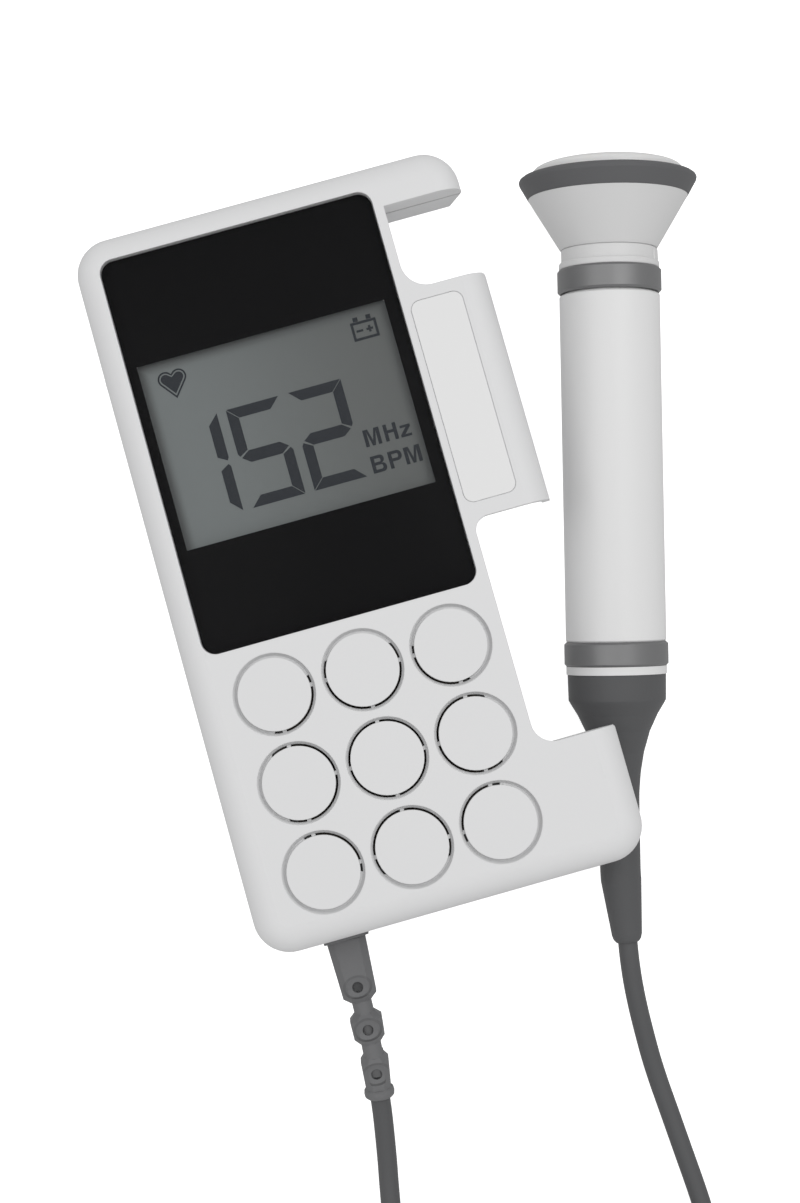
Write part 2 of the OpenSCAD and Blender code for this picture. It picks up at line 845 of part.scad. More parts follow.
module main_board() {
    color("darkgreen")
        difference() {
            translate([board_left, board_start_y, board_z])
                cube([board_right - board_left, board_end_y - board_start_y, board_t]);
            for (x = [-1, 1])
                for (y = [board_screw_low_y, board_screw_top_y])
                    translate([x * board_screw_x, y, board_z - 1])
                        cylinder(r = board_screw_r + 0.2, h = board_t + 2);
        }
}

// Packages soldered to the underside of the board.
module board_chips() {
    color("black") {
        translate([-4, board_end_y - 31, board_z - 1.4]) cube([12, 12, 1.4]);
        translate([12, board_end_y - 27, board_z - 1.2]) cube([8, 5, 1.2]);
        translate([-2, board_end_y - 47, board_z - 1.2]) cube([8, 5, 1.2]);
        translate([14, board_end_y - 45, board_z]) mirror([0, 0, 1]) cylinder(r = 3, h = 5);
        translate([-14, board_end_y - 25, board_z]) mirror([0, 0, 1]) cylinder(r = 2.5, h = 4);
    }
}

module board_screws() {
    color("silver")
        for (x = [-1, 1])
            for (y = [board_screw_low_y, board_screw_top_y])
                translate([x * board_screw_x, y, board_z]) {
                    mirror([0, 0, 1]) cylinder(r = 2, h = 1.3);
                    cylinder(r = board_screw_r - 0.2, h = board_t + 3.6);
                }
}

// Pressed frame of the loudspeaker.
module loudspeaker_basket() {
    color("dimgray")
        translate([speaker_x, speaker_y, 0])
            difference() {
                revolve([
                    [0, speaker_bottom + magnet_h], [10.5, speaker_bottom + magnet_h],
                    [speaker_r - 4.5, basket_top - 3.2], [speaker_r - 2.6, basket_top - basket_t],
                    [speaker_r, basket_top - basket_t], [speaker_r, basket_top],
                    [speaker_r - 3.2, basket_top], [speaker_r - 5, basket_top - 2.2],
                    [10, speaker_bottom + magnet_h + 1], [0, speaker_bottom + magnet_h + 1]
                ]);
                for (a = [0:60:300])
                    rotate(a) translate([13, 0, speaker_bottom]) cylinder(r = 1.8, h = 20);
            }
}

// Paper cone and dust cap.
module loudspeaker_cone() {
    color("saddlebrown")
        translate([speaker_x, speaker_y, 0])
            revolve([
                [0, basket_top - 1.2], [2.5, basket_top - 1.5], [4.6, basket_top - 2.6], [8, basket_top - 2.4],
                [speaker_r - 6, basket_top - 0.6], [speaker_r - 3.4, basket_top + 0.2],
                [speaker_r - 2.6, basket_top + 0.02], [speaker_r - 2.6, basket_top + 0.32],
                [speaker_r - 3.4, basket_top + 0.5], [speaker_r - 6, basket_top - 0.3],
                [8, basket_top - 2.1], [4.8, basket_top - 2.3], [2.6, basket_top - 1.2], [0, basket_top - 0.9]
            ]);
}

module loudspeaker_magnet() {
    color("gray")
        translate([speaker_x, speaker_y, speaker_bottom]) cylinder(r = magnet_r, h = magnet_h);
}

// Foam ring between the loudspeaker and the grille.
module loudspeaker_gasket() {
    color("black")
        translate([speaker_x, speaker_y, basket_top]) ring(speaker_r, sound_r, gasket_t);
}

// ---------- side controls ----------

// A button's cap (first child), its wider collar inside the wall (second child) and the stem
// that stops just short of its switch.
module button_form() {
    collar_z = -wall - button_seat - collar_t;
    stem_end = -(switch_x - plunger_l - left) + button_travel + 0.1;
    translate([0, 0, collar_z + eps]) linear_extrude(button_proud - collar_z - eps) children(0);
    translate([0, 0, collar_z]) linear_extrude(collar_t) children(1);
    translate([0, 0, stem_end]) cylinder(r = 1.5, h = collar_z - stem_end + eps);
}

module power_button() {
    color("lightgray")
        on_left_wall(power_y)
            button_form() {
                circle(power_r);
                circle(power_r + collar_out);
            }
}

// One of the two long volume buttons.
module volume_button_form() {
    button_form() {
        stadium(volume_l, volume_w);
        stadium(volume_l + 2 * collar_out, volume_w + 2 * collar_out);
    }
}

module volume_up_button() {
    color("lightgray") on_left_wall(volume_up_y) volume_button_form();
}

module volume_down_button() {
    color("lightgray") on_left_wall(volume_down_y) volume_button_form();
}

// Three tact switches under the board's left edge.
module side_switches() {
    color("dimgray")
        for (y = [power_y, volume_up_y, volume_down_y]) {
            translate([switch_x, y - switch_w / 2, board_z - switch_h]) cube([switch_d, switch_w, switch_h]);
            translate([switch_x - plunger_l, y, control_z])
                rotate([0, 90, 0]) cylinder(r = plunger_r, h = plunger_l + eps);
        }
}

module headphone_socket() {
    socket_end = left + socket_l + 2;
    color("dimgray")
        difference() {
            union() {
                translate([left + wall + 0.05, socket_y - socket_body / 2, board_z - 5.2])
                    cube([socket_end - left - wall, socket_body, 5.2]);
                on_left_wall(socket_y, socket_z)
                    translate([0, 0, -wall - 1]) cylinder(r = socket_barrel_r, h = wall + 1);
            }
            on_left_wall(socket_y, socket_z)
                translate([0, 0, -socket_l]) cylinder(r = socket_r, h = socket_l + 1);
        }
}

// ---------- batteries ----------

module battery_cells() {
    color("darkseagreen")
        for (side_sign = [-1, 1])
            translate([side_sign * cell_x, 0, cell_z])
                rotate([90, 0, 0])
                    translate([0, 0, -(bay_start_y + bay_end_y) / 2 - cell_l / 2])
                        mirror_end(side_sign) {
                            cylinder(r = cell_r, h = cell_l - 1.2);
                            cylinder(r = 2.6, h = cell_l);
                        }
}

// Turns a cell end for end, so that the two lie head to tail.
module mirror_end(side_sign) {
    translate([0, 0, side_sign > 0 ? 0 : cell_l]) mirror([0, 0, side_sign > 0 ? 0 : 1]) children();
}

// Sprung metal leaves at both ends of the bay.
module battery_contacts() {
    leaf = 9;
    color("silver")
        for (x = [-1, 1])
            for (end = [0, 1])
                translate([x * cell_x, end == 0 ? bay_start_y : bay_end_y, cell_z])
                    mirror([0, end, 0]) {
                        translate([-leaf / 2, 0, -leaf / 2]) cube([leaf, contact_t, leaf]);
                        rotate([-90, 0, 0]) cylinder(r1 = 3.4, r2 = 2.4, h = contact_room - 0.1);
                    }
}

module battery_door() {
    color("gainsboro")
        difference() {
            intersection() {
                round_slab_down(stem_w, case_h, parting, corner_r, back_edge_r);
                union() {
                    translate([-door_w / 2, bottom - 1, door_sink])
                        cube([door_w, door_end_y - bottom + 1, door_t]);
                    translate([-door_w / 2 - tongue, bottom - 1, tongue_z])
                        cube([door_w + 2 * tongue, door_end_y - 5 - bottom + 1, door_sink + door_t - tongue_z]);
                }
            }
            // Thumb grip
            for (y = [0:4])
                translate([-8, bottom + 12 + 2.4 * y, door_sink - 0.6])
                    rotate([0, 90, 0]) cylinder(r = 0.9, h = 16);
        }
}

module case_screws() {
    color("silver")
        for (x = [-1, 1])
            for (y = [-1, 1])
                translate([x * screw_x, y * screw_y, head_seat_z]) {
                    difference() {
                        mirror([0, 0, 1]) cylinder(r = head_r, h = head_h);
                        for (a = [0, 90])
                            rotate(a) translate([-1.4, -0.25, -head_h - eps]) cube([2.8, 0.5, 0.9]);
                    }
                    cylinder(r = screw_r, h = screw_tip_z - head_seat_z);
                }
}

// ---------- strain relief ----------

// Stations of the moulded strain relief: [x, y, z, tilt down, turn].
relief_blocks = [
    [relief_x - 0.1, bottom - 1.4, relief_z, 3, 1.5],
    [relief_x - 0.52, bottom - 17.25, 9.85, 9, 4],
    [relief_x - 1.08, bottom - 25.62, 8.13, 15, 7.5]
];
// Each block: [width at its start, width at its end, length, height, shoulder before, shoulder after, eye].
relief_sizes = [
    [7.6, 6.6, 11.2, 7, 0, 1.3, 9.4],
    [6.3, 6, 3.7, 5.8, 1.3, 1.3, 2],
    [5.5, 4.9, 6.15, 5.2, 1.2, 0, 2.5]
];
scoop_r = 5;
scoop_depth = 0.55;
eye_r = 1.05;

// Cross-section of a block: an octagon of width w and height h.
module relief_section(w, h, c = 1.3) {
    polygon([
        [-w / 2 + c, -h / 2], [w / 2 - c, -h / 2], [w / 2, -h / 2 + c], [w / 2, h / 2 - c],
        [w / 2 - c, h / 2], [-w / 2 + c, h / 2], [-w / 2, h / 2 - c], [-w / 2, -h / 2 + c]
    ]);
}

// A thin slice of the relief at height z along a block.
module relief_slice(z, w, h) {
    translate([0, 0, z]) linear_extrude(0.1) relief_section(w, h, min(1.3, w / 3.4));
}

// Places its children, drawn along +Z, along block i, which points to -Y.
module on_relief(i) {
    b = relief_blocks[i];
    translate([b[0], b[1], b[2]]) rotate([90 + b[3], 0, -b[4]]) children();
}

// One block with its sloping shoulders; its upper side has a shallow scoop with a blind eye in it.
module relief_block(s) {
    bar = 2 * relief_bar_r;
    difference() {
        hull() {
            relief_slice(0, s[0], s[3]);
            relief_slice(s[2] - 0.1, s[1], s[3] - 0.4);
            if (s[4] > 0) relief_slice(-s[4], bar, bar);
            if (s[5] > 0) relief_slice(s[2] + s[5] - 0.1, bar, bar);
        }
        translate([0, s[3] / 2 - 0.1, s[6]]) {
            translate([0, scoop_r - scoop_depth, 0]) sphere(r = scoop_r);
            rotate([90, 0, 0]) cylinder(r = eye_r, h = 3.6, center = true);
        }
    }
}

module cable_strain_relief() {
    color("dimgray") {
        // Anchor inside the wall, neck through it and flange outside
        translate([relief_x, bottom + wall + 0.05, relief_z]) rotate([-90, 0, 0]) cylinder(r = 4.4, h = 1.6);
        translate([relief_x, bottom + wall + 0.1, relief_z]) rotate([90, 0, 0])
            cylinder(r = relief_neck_r, h = wall + 0.2);
        translate([relief_x, bottom - 0.05, relief_z]) rotate([90, 0, 0])
            linear_extrude(1.5) relief_section(8.9, 8);
        for (i = [0:2]) on_relief(i) relief_block(relief_sizes[i]);
        on_relief(0) translate([0, 0, 11]) cylinder(r = relief_bar_r, h = 5.2);
        on_relief(1) translate([0, 0, -1.2]) cylinder(r = relief_bar_r, h = 9.2);
        on_relief(2) translate([0, 0, -1.8]) cylinder(r = relief_bar_r, h = 5);
        // Ring that grips the cable
        on_relief(2) translate([0, 0, 5.95])
            revolve([[0, 0], [2.6, 0], [2.9, 0.3], [3, 0.95], [2.9, 1.6], [2.6, 1.9], [0, 1.9]]);
    }
}

module inner_lead() {
    color("dimgray") tube(inner_lead_route, inner_lead_d / 2, leg_sides);
}

// Plug of the inner lead on the underside of the board.
module lead_plug() {
    color("white")
        translate([plug_x - plug_w / 2, plug_y, board_z - plug_d]) cube([plug_w, plug_l, plug_d]);
}

module cable_monitor_leg() {
    color("dimgray") tube(monitor_leg_route, cord_r, leg_sides);
}

module cable_coil() {
    color("dimgray") tube(coil_route, cord_r, coil_sides);
}

module cable_probe_leg() {
    color("dimgray") tube(probe_leg_route, cord_r, leg_sides);
}

// ---------- probe ----------

// White barrel, with seats for the two grip bands.
module probe_barrel() {
    color("whitesmoke")
        on_probe()
            revolve([
                [bore_r, -band_half], [band_seat_r, -band_half], [band_seat_r, barrel_start - 0.3],
                [barrel_r - 0.3, barrel_start - 0.3], [barrel_r, barrel_start], [barrel_r, barrel_end],
                [barrel_r - 0.3, barrel_end + 0.3], [band_seat_r, barrel_end + 0.3],
                [band_seat_r, neck_z], [bore_r, neck_z]
            ]);
}

// A dark grip band whose edges are eased.
module grip_band() {
    revolve([
        [band_seat_r + 0.02, 0], [band_r - band_ease, 0], [band_r, band_ease],
        [band_r, band_l - band_ease], [band_r - band_ease, band_l], [band_seat_r + 0.02, band_l]
    ]);
}

module probe_lower_band() {
    color("dimgray") on_probe(-band_half) grip_band();
}

module probe_upper_band() {
    color("dimgray") on_probe(upper_band_z) grip_band();
}

// White end ring with a spigot in the barrel.
module probe_end_ring() {
    color("whitesmoke")
        on_probe()
            revolve([
                [3.2, end_ring_z], [barrel_r, end_ring_z], [barrel_r, -band_half],
                [bore_r - 0.05, -band_half], [bore_r - 0.05, -band_half + 5],
                [bore_r - 1.4, -band_half + 5], [bore_r - 1.4, -band_half], [3.2, -band_half]
            ]);
}

// Stepped collar between the upper band and the cone, with a tab up to the cone on one side.
module probe_collar() {
    color("whitesmoke")
        on_probe() {
            revolve([
                [bore_r, neck_z], [barrel_r - 0.1, neck_z], [barrel_r, neck_z + 0.15],
                [barrel_r, neck_z + collar_l - 0.25], [barrel_r - 0.2, neck_z + collar_l],
                [neck_r, neck_z + collar_l], [neck_r, cone_z - 0.15], [neck_r - 0.2, cone_z - 0.15],
                [neck_r - 0.2, cone_z], [bore_r, cone_z]
            ]);
            intersection() {
                revolve([
                    [bore_r + 0.5, neck_z + 0.5], [barrel_r - 0.2, neck_z + 0.5],
                    [barrel_r - 0.2, neck_z + collar_l], [neck_r + 0.2, cone_z - 0.4],
                    [bore_r + 0.5, cone_z - 0.4]
                ]);
                translate([0, -collar_tab_w / 2, neck_z]) cube([band_r, collar_tab_w, neck_l]);
            }
        }
}

// White cone of the head, hollow.
module probe_head() {
    color("whitesmoke")
        on_probe()
            revolve([
                [bore_r, cone_z], [cone_bottom_r, cone_z], [cone_bottom_r + 0.3, cone_z + 0.4],
                [cone_top_r, rim_z], [cone_top_r - 0.9, rim_z],
                [rim_inner_r, rim_z + 1.2], [rim_inner_r, rim_z + 1.8], [rim_inner_r - 1.6, rim_z + 1.8],
                [rim_inner_r - 1.6, rim_z], [bore_r, cone_z + 2.2]
            ]);
}

// Dark rim round the sensing face.
module probe_rim() {
    color("dimgray")
        on_probe()
            revolve([
                [cone_top_r - 0.85, rim_z + 0.02], [cone_top_r + 0.05, rim_z + 0.02],
                [rim_r - 0.4, rim_z + rim_l * 0.56], [rim_r - 0.1, rim_z + rim_l * 0.68],
                [rim_r, rim_widest], [rim_r - 0.15, rim_z + rim_l * 0.88],
                [rim_r - 0.55, rim_z + rim_l * 0.95], [rim_r - 1.2, face_z],
                [rim_inner_r + 0.05, face_z], [rim_inner_r + 0.05, rim_z + 1.2]
            ]);
}

// White sensing face: a low dome on a short plug.
module probe_face() {
    color("whitesmoke")
        on_probe()
            intersection() {
                translate([0, 0, face_z + face_crown - face_ball_r]) sphere(r = face_ball_r, $fn = 96);
                translate([0, 0, rim_z + 1.85]) cylinder(r = rim_inner_r, h = rim_l + face_crown);
            }
}

// Two half-round crystals, one sends and one listens.
module probe_crystals() {
    color("goldenrod")
        on_probe(rim_z + 1.05)
            difference() {
                cylinder(r = crystal_r, h = crystal_t);
                translate([-crystal_r - 1, -0.4, -1]) cube([2 * crystal_r + 2, 0.8, crystal_t + 2]);
            }
}

// Sound-absorbing block behind the crystals.
module probe_backing() {
    color("slategray")
        on_probe()
            revolve([
                [0, cone_z + 2.6], [bore_r - 0.6, cone_z + 2.6], [backing_r, rim_z - 0.2],
                [backing_r, rim_z + 1.03], [0, rim_z + 1.03]
            ]);
}

// Amplifier board inside the barrel.
module probe_board() {
    color("darkgreen")
        on_probe(barrel_start + 2.7)
            translate([-bore_r + 0.35, -0.6, 0]) cube([2 * bore_r - 0.7, 1.2, barrel_l - 9.8]);
}

// Rubber boot: a sleeve, a long taper and a tail that leans a little.
module probe_boot() {
    color("dimgray")
        on_probe(end_ring_z) {
            revolve([
                [0, -boot_bend], [boot_waist_r, -boot_bend], [boot_waist_r, -28], [boot_waist_r + 0.05, -23.5],
                [boot_waist_r + 0.4, -19.5], [boot_waist_r + 1.1, -15.5], [6.35, -11.3], [7.9, -8],
                [boot_r - 0.25, -boot_sleeve_l - 0.2], [boot_r, -boot_sleeve_l + 0.3],
                [boot_r + 0.1, -0.02], [0, -0.02]
            ]);
            translate([0, 0, -boot_bend]) rotate([0, 0, 180]) boot_tail();
        }
}

// The boot's tail: a short bend, then a taper down to the cable.
module boot_tail() {
    a = boot_bend_angle;
    translate([-boot_bend_r, 0, 0])
        rotate([-90, 0, 0])
            rotate_extrude(angle = a, $fn = 360) translate([boot_bend_r, 0]) circle(boot_waist_r, $fn = 64);
    translate([-boot_bend_r * (1 - cos(a)), 0, -boot_bend_r * sin(a)])
        rotate([0, a, 0])
            revolve([
                [0, 0], [boot_waist_r, 0], [boot_tail_r + 0.05, -boot_tail_l + 1.5],
                [boot_tail_r - 0.2, -boot_tail_l + 0.6], [boot_tail_r - 0.65, -boot_tail_l], [0, -boot_tail_l]
            ]);
}

front_case();
rear_case();
display_window();
window_mask();
lcd_glass();
lcd_tray();
contact_strips();
main_board();
board_chips();
board_screws();
loudspeaker_basket();
loudspeaker_cone();
loudspeaker_magnet();
loudspeaker_gasket();
tab_label();
power_button();
volume_up_button();
volume_down_button();
side_switches();
headphone_socket();
battery_cells();
battery_contacts();
battery_door();
case_screws();
cable_strain_relief();
inner_lead();
lead_plug();
cable_monitor_leg();
cable_coil();
cable_probe_leg();
probe_barrel();
probe_upper_band();
probe_lower_band();
probe_end_ring();
probe_collar();
probe_head();
probe_rim();
probe_face();
probe_crystals();
probe_backing();
probe_board();
probe_boot();
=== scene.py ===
import bpy
import bmesh
import math
from mathutils import Euler, Matrix, Vector


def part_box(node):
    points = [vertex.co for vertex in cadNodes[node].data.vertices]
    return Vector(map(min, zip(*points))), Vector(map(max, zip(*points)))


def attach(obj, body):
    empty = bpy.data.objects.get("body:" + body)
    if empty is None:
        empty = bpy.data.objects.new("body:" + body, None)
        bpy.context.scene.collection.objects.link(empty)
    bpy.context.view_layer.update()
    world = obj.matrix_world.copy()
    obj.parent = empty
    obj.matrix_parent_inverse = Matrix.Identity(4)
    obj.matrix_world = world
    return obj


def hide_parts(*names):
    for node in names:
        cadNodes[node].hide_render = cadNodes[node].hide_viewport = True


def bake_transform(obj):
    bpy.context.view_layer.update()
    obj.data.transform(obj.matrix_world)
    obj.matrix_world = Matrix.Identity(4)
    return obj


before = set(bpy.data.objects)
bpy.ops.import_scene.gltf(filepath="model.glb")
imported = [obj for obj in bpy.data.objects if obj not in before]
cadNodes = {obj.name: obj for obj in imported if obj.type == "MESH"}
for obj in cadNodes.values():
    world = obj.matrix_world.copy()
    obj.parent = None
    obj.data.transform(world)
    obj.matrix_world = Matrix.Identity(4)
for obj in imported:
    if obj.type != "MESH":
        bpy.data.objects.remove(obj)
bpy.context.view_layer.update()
mm = 0.001


# The camera stands over the monitor, turned so that the monitor leans to the left in the picture.
camera = {
    "place": (0.00145, -0.03927, 0.42722),
    "aim": (0.01313, -0.01114, 0.01628),  # what stands in the middle of the picture
    "upward": (0.26886, 0.96038, 0.07338),  # turns the picture
    "lens": 63.2,
    "sensor": 36,
}


def placeCamera():
    lens = bpy.data.cameras.new("camera")
    lens.lens = camera["lens"]
    lens.sensor_width = camera["sensor"]
    eye = bpy.data.objects.new("camera", lens)
    bpy.context.collection.objects.link(eye)
    place = Vector(camera["place"])
    forward = (Vector(camera["aim"]) - place).normalized()
    right = forward.cross(Vector(camera["upward"])).normalized()
    turn = Matrix((right, right.cross(forward), -forward)).transposed()
    eye.matrix_world = Matrix.Translation(place) @ turn.to_4x4()
    bpy.context.scene.camera = eye


placeCamera()
print("camera placed")


# The cable, from the monitor's strain relief to the probe's boot; points are in metres.
cable = {
    "diameter": 0.0039,
    "length": 1.204,
    "exit": (-0.01668, -0.10318, 0.00607),
    "monitorLeg": [
        (-0.01668, -0.10318, 0.00607), (-0.0172, -0.1069, 0.00506), (-0.018, -0.1116, 0.0038),
        (-0.0189, -0.1165, 0.0027), (-0.0198, -0.121, 0.0021), (-0.0208, -0.1265, 0.00195),
        (-0.0217, -0.133, 0.00195), (-0.0223, -0.14, 0.00195), (-0.0225, -0.147, 0.00195),
        (-0.0225, -0.155, 0.00195), (-0.0225, -0.162, 0.00195), (-0.0225, -0.1671, 0.00195),
    ],
    "probeLeg": [
        (0.03858, -0.08753, 0.00604), (0.03794, -0.09136, 0.00574), (0.0374, -0.096, 0.0052),
        (0.0371, -0.101, 0.0044), (0.037, -0.106, 0.0036), (0.037, -0.111, 0.0028),
        (0.0372, -0.116, 0.00225), (0.0376, -0.122, 0.00195), (0.0381, -0.13, 0.00195),
        (0.0386, -0.138, 0.00195), (0.0388, -0.145, 0.0022), (0.0387, -0.152, 0.0033),
        (0.0385, -0.158, 0.0048), (0.0385, -0.163, 0.006), (0.0385, -0.1671, 0.0063),
    ],
    "legSteps": 4,  # rings between two points of a leg
    "coilCentre": (0.008, -0.171),
    "coilRadius": 0.0305,
    "coilTurns": 7.5,
    "coilPitch": 0.00435,
    "climb": 0.5,  # of a turn, in which it rises to the second layer
    "turnSteps": 48,
    "roundness": 5,  # the more, the rounder the tube
    "bendStart": (0.0387, -0.145, 0),  # the stretch that gives when the probe moves
    "bendEnd": (0.0674, -0.1163, 0),
}


# A Catmull-Rom curve through the given points.
def smoothLine(points, steps):
    spots = [Vector(p) for p in points]
    spots = [2 * spots[0] - spots[1]] + spots + [2 * spots[-1] - spots[-2]]
    line = []
    for before, here, there, after in zip(spots, spots[1:], spots[2:], spots[3:]):
        for step in range(steps):
            t = step / steps
            pull = (2 * before - 5 * here + 4 * there - after) * t * t
            turn = (3 * here - before - 3 * there + after) * t * t * t
            line.append(0.5 * (2 * here + (there - before) * t + pull + turn))
    return line + [spots[-2]]


# Spirals in on the table, climbs one layer in half a turn and spirals out again.
def coilLine():
    turns, pitch, rise = cable["coilTurns"], cable["coilPitch"], cable["climb"]
    line = []
    for step in range(1, int(turns * cable["turnSteps"])):
        turn = step / cable["turnSteps"]
        climb = min(1, max(0, (turn - turns / 2 + rise / 2) / rise))
        angle = math.pi + 2 * math.pi * turn
        radius = cable["coilRadius"] - pitch * min(turn, turns - turn)
        line.append(Vector((
            cable["coilCentre"][0] + radius * math.cos(angle),
            cable["coilCentre"][1] + radius * math.sin(angle),
            cable["diameter"] / 2 + pitch * climb * climb * (3 - 2 * climb),
        )))
    return line


# A round tube along the line, as a mesh.
def tubeAlong(line, radius, name):
    curve = bpy.data.curves.new(name, "CURVE")
    curve.dimensions = "3D"
    curve.bevel_depth = radius
    curve.bevel_resolution = cable["roundness"]
    curve.use_fill_caps = True
    spline = curve.splines.new("POLY")
    spline.points.add(len(line) - 1)
    for spot, point in zip(spline.points, line):
        spot.co = (*point, 1)
    holder = bpy.data.objects.new(name, curve)
    bpy.context.collection.objects.link(holder)
    mesh = bpy.data.meshes.new_from_object(holder)
    bpy.data.objects.remove(holder)
    tube = bpy.data.objects.new(name, mesh)
    bpy.context.collection.objects.link(tube)
    for face in mesh.polygons:
        face.use_smooth = True
    return tube


def layCable():
    monitorLeg = smoothLine(cable["monitorLeg"], cable["legSteps"])
    probeLeg = smoothLine(cable["probeLeg"], cable["legSteps"])
    line = monitorLeg + coilLine() + probeLeg[::-1]
    cord = tubeAlong(line, cable["diameter"] / 2, "probe_cable")
    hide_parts("cable_monitor_leg", "cable_coil", "cable_probe_leg")
    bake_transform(cord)
    return cord


cord = layCable()
print("cable laid")


# A socket that takes part in sums, so that 1 - mask adds its own Math node.
class Wire:
    def __init__(self, finish, socket):
        self.finish = finish
        self.socket = socket

    def sum(self, operation, first, second):
        return self.finish.node("ShaderNodeMath", {"operation": operation}, {0: first, 1: second})

    def __add__(self, other):
        return self.sum("ADD", self, other)

    __radd__ = __add__

    def __sub__(self, other):
        return self.sum("SUBTRACT", self, other)

    def __rsub__(self, other):
        return self.sum("SUBTRACT", other, self)

    def __mul__(self, other):
        return self.sum("MULTIPLY", self, other)

    __rmul__ = __mul__

    def __gt__(self, other):
        return self.sum("GREATER_THAN", self, other)

    def __lt__(self, other):
        return self.sum("LESS_THAN", self, other)


# A material under way: one Principled shader, and the nodes that feed it.
class Finish:
    def __init__(self, name, constants):
        self.material = bpy.data.materials.new(name)
        self.material.use_nodes = True
        self.tree = self.material.node_tree
        self.tree.nodes.clear()
        output = self.tree.nodes.new("ShaderNodeOutputMaterial")
        self.shader = self.tree.nodes.new("ShaderNodeBsdfPrincipled")
        self.tree.links.new(self.shader.outputs[0], output.inputs[0])
        for socket, value in constants.items():
            self.shader.inputs[socket].default_value = value

    def feed(self, socket, value):
        if isinstance(value, Wire):
            self.tree.links.new(value.socket, socket)
        else:
            socket.default_value = value

    def node(self, kind, settings, values, take=0):
        made = self.tree.nodes.new(kind)
        for setting, value in settings.items():
            setattr(made, setting, value)
        for socket, value in values.items():
            self.feed(made.inputs[socket], value)
        return Wire(self, made.outputs[take])

    def place(self):
        return self.node("ShaderNodeTexCoord", {}, {}, "Object")

    def axes(self):
        parts = self.node("ShaderNodeSeparateXYZ", {}, {0: self.place()}, "X")
        return [Wire(self, socket) for socket in parts.socket.node.outputs]

    def noise(self, scale, detail, stretch=(1, 1, 1)):
        vector = self.node("ShaderNodeMapping", {}, {"Vector": self.place(), "Scale": stretch})
        return self.node("ShaderNodeTexNoise", {}, {"Vector": vector, "Scale": scale, "Detail": detail})

    def larger(self, first, second):
        return first.sum("MAXIMUM", first, second)

    def smaller(self, first, second):
        return first.sum("MINIMUM", first, second)

    # The signed distance to the nearest multiple of twice the reach.
    def wrap(self, value, reach):
        return self.node("ShaderNodeMath", {"operation": "WRAP"}, {0: value, 1: reach, 2: -reach})

    # Rises gently from 0 to 1 between the two values.
    def rise(self, value, low, high):
        return self.node(
            "ShaderNodeMapRange", {"interpolation_type": "SMOOTHSTEP"},
            {"Value": value, "From Min": low, "From Max": high, "To Min": 0, "To Max": 1})

    # Sockets 6 and 7 of a colour Mix are its two colours, and its output 2 is the result.
    def mixColours(self, mask, first, second):
        return self.node(
            "ShaderNodeMix", {"data_type": "RGBA"},
            {0: mask, 6: first if isinstance(first, Wire) else (*first, 1),
             7: second if isinstance(second, Wire) else (*second, 1)}, 2)

    def paint(self, **inputs):
        for name, value in inputs.items():
            socket = {"colour": "Base Color", "roughness": "Roughness", "metallic": "Metallic"}[name]
            self.feed(self.shader.inputs[socket], value)

    # Surface relief, with broken edges of the given radius.
    def relief(self, height, depth, edge=0.0):
        values = {"Height": height, "Distance": depth, "Strength": 1}
        if edge:
            values["Normal"] = self.node("ShaderNodeBevel", {"samples": 4}, {"Radius": edge})
        self.feed(self.shader.inputs["Normal"], self.node("ShaderNodeBump", {}, values))


def tint(colour, factor):
    return tuple(channel * factor for channel in colour)


seam = {"height": 27 * mm, "width": 0.36 * mm, "shade": 0.3}  # height over the table
grooves = {
    "middle": (2.5 * mm, -39.8 * mm),  # of the centre disc
    "pitch": 17.1 * mm,
    "rows": 3,
    "inside": 6.9 * mm,
    "outside": 7.75 * mm,
    "bottom": 31.5 * mm,  # height over the table, below which nothing is painted
    "light": (0.87, 0.5),  # the side that the light comes from
    "depth": 0.4,  # share of the shade that lies on it
    "slope": 0.42,  # what its walls add to that or take away, as they turn from or to the light
    "shade": 0.5,
}
eyes = {
    "centres": [  # of their bottoms
        (-14.95 * mm, -80.87 * mm, 12.11 * mm),
        (-15.28 * mm, -89.49 * mm, 11.27 * mm),
        (-16.05 * mm, -98.46 * mm, 9.17 * mm),
    ],
    "radius": 1.12 * mm,
    "depth": 0.6,  # share of the shade that lies on them
    "scoop": (2.9 * mm, 2.3 * mm),  # half its width and length
    "inner": 0.66,  # where the scoop's edge begins
    "edge": (0.4, 0.3, 0.35),  # its shade, and what its slope and its roundness do to that
    "shade": 0.5,
}


# Where the two shells meet.
def partingLine(finish):
    above = finish.axes()[2] - seam["height"]
    return above * above < (seam["width"] / 2) ** 2, seam["shade"]


# The ring grooves round the discs of the grille, which lie in shade.
def ringGrooves(finish):
    pitch, inside, outside = grooves["pitch"], grooves["inside"] ** 2, grooves["outside"] ** 2
    spread, within, facing = 0, 1, 0
    for along, middle, toLight in zip(finish.axes(), grooves["middle"], grooves["light"]):
        offset = along - middle
        near = finish.wrap(offset, pitch / 2)
        spread = spread + near * near
        facing = facing + near * (toLight / grooves["outside"])
        within = within * (offset * offset < (grooves["rows"] / 2 * pitch) ** 2)
    ring = (spread > inside) * (spread < outside)
    across = (spread - (inside + outside) / 2) * (2 / (outside - inside))
    depth = grooves["depth"] + grooves["slope"] * facing * across
    return ring * within * (finish.axes()[2] > grooves["bottom"]) * depth, grooves["shade"]
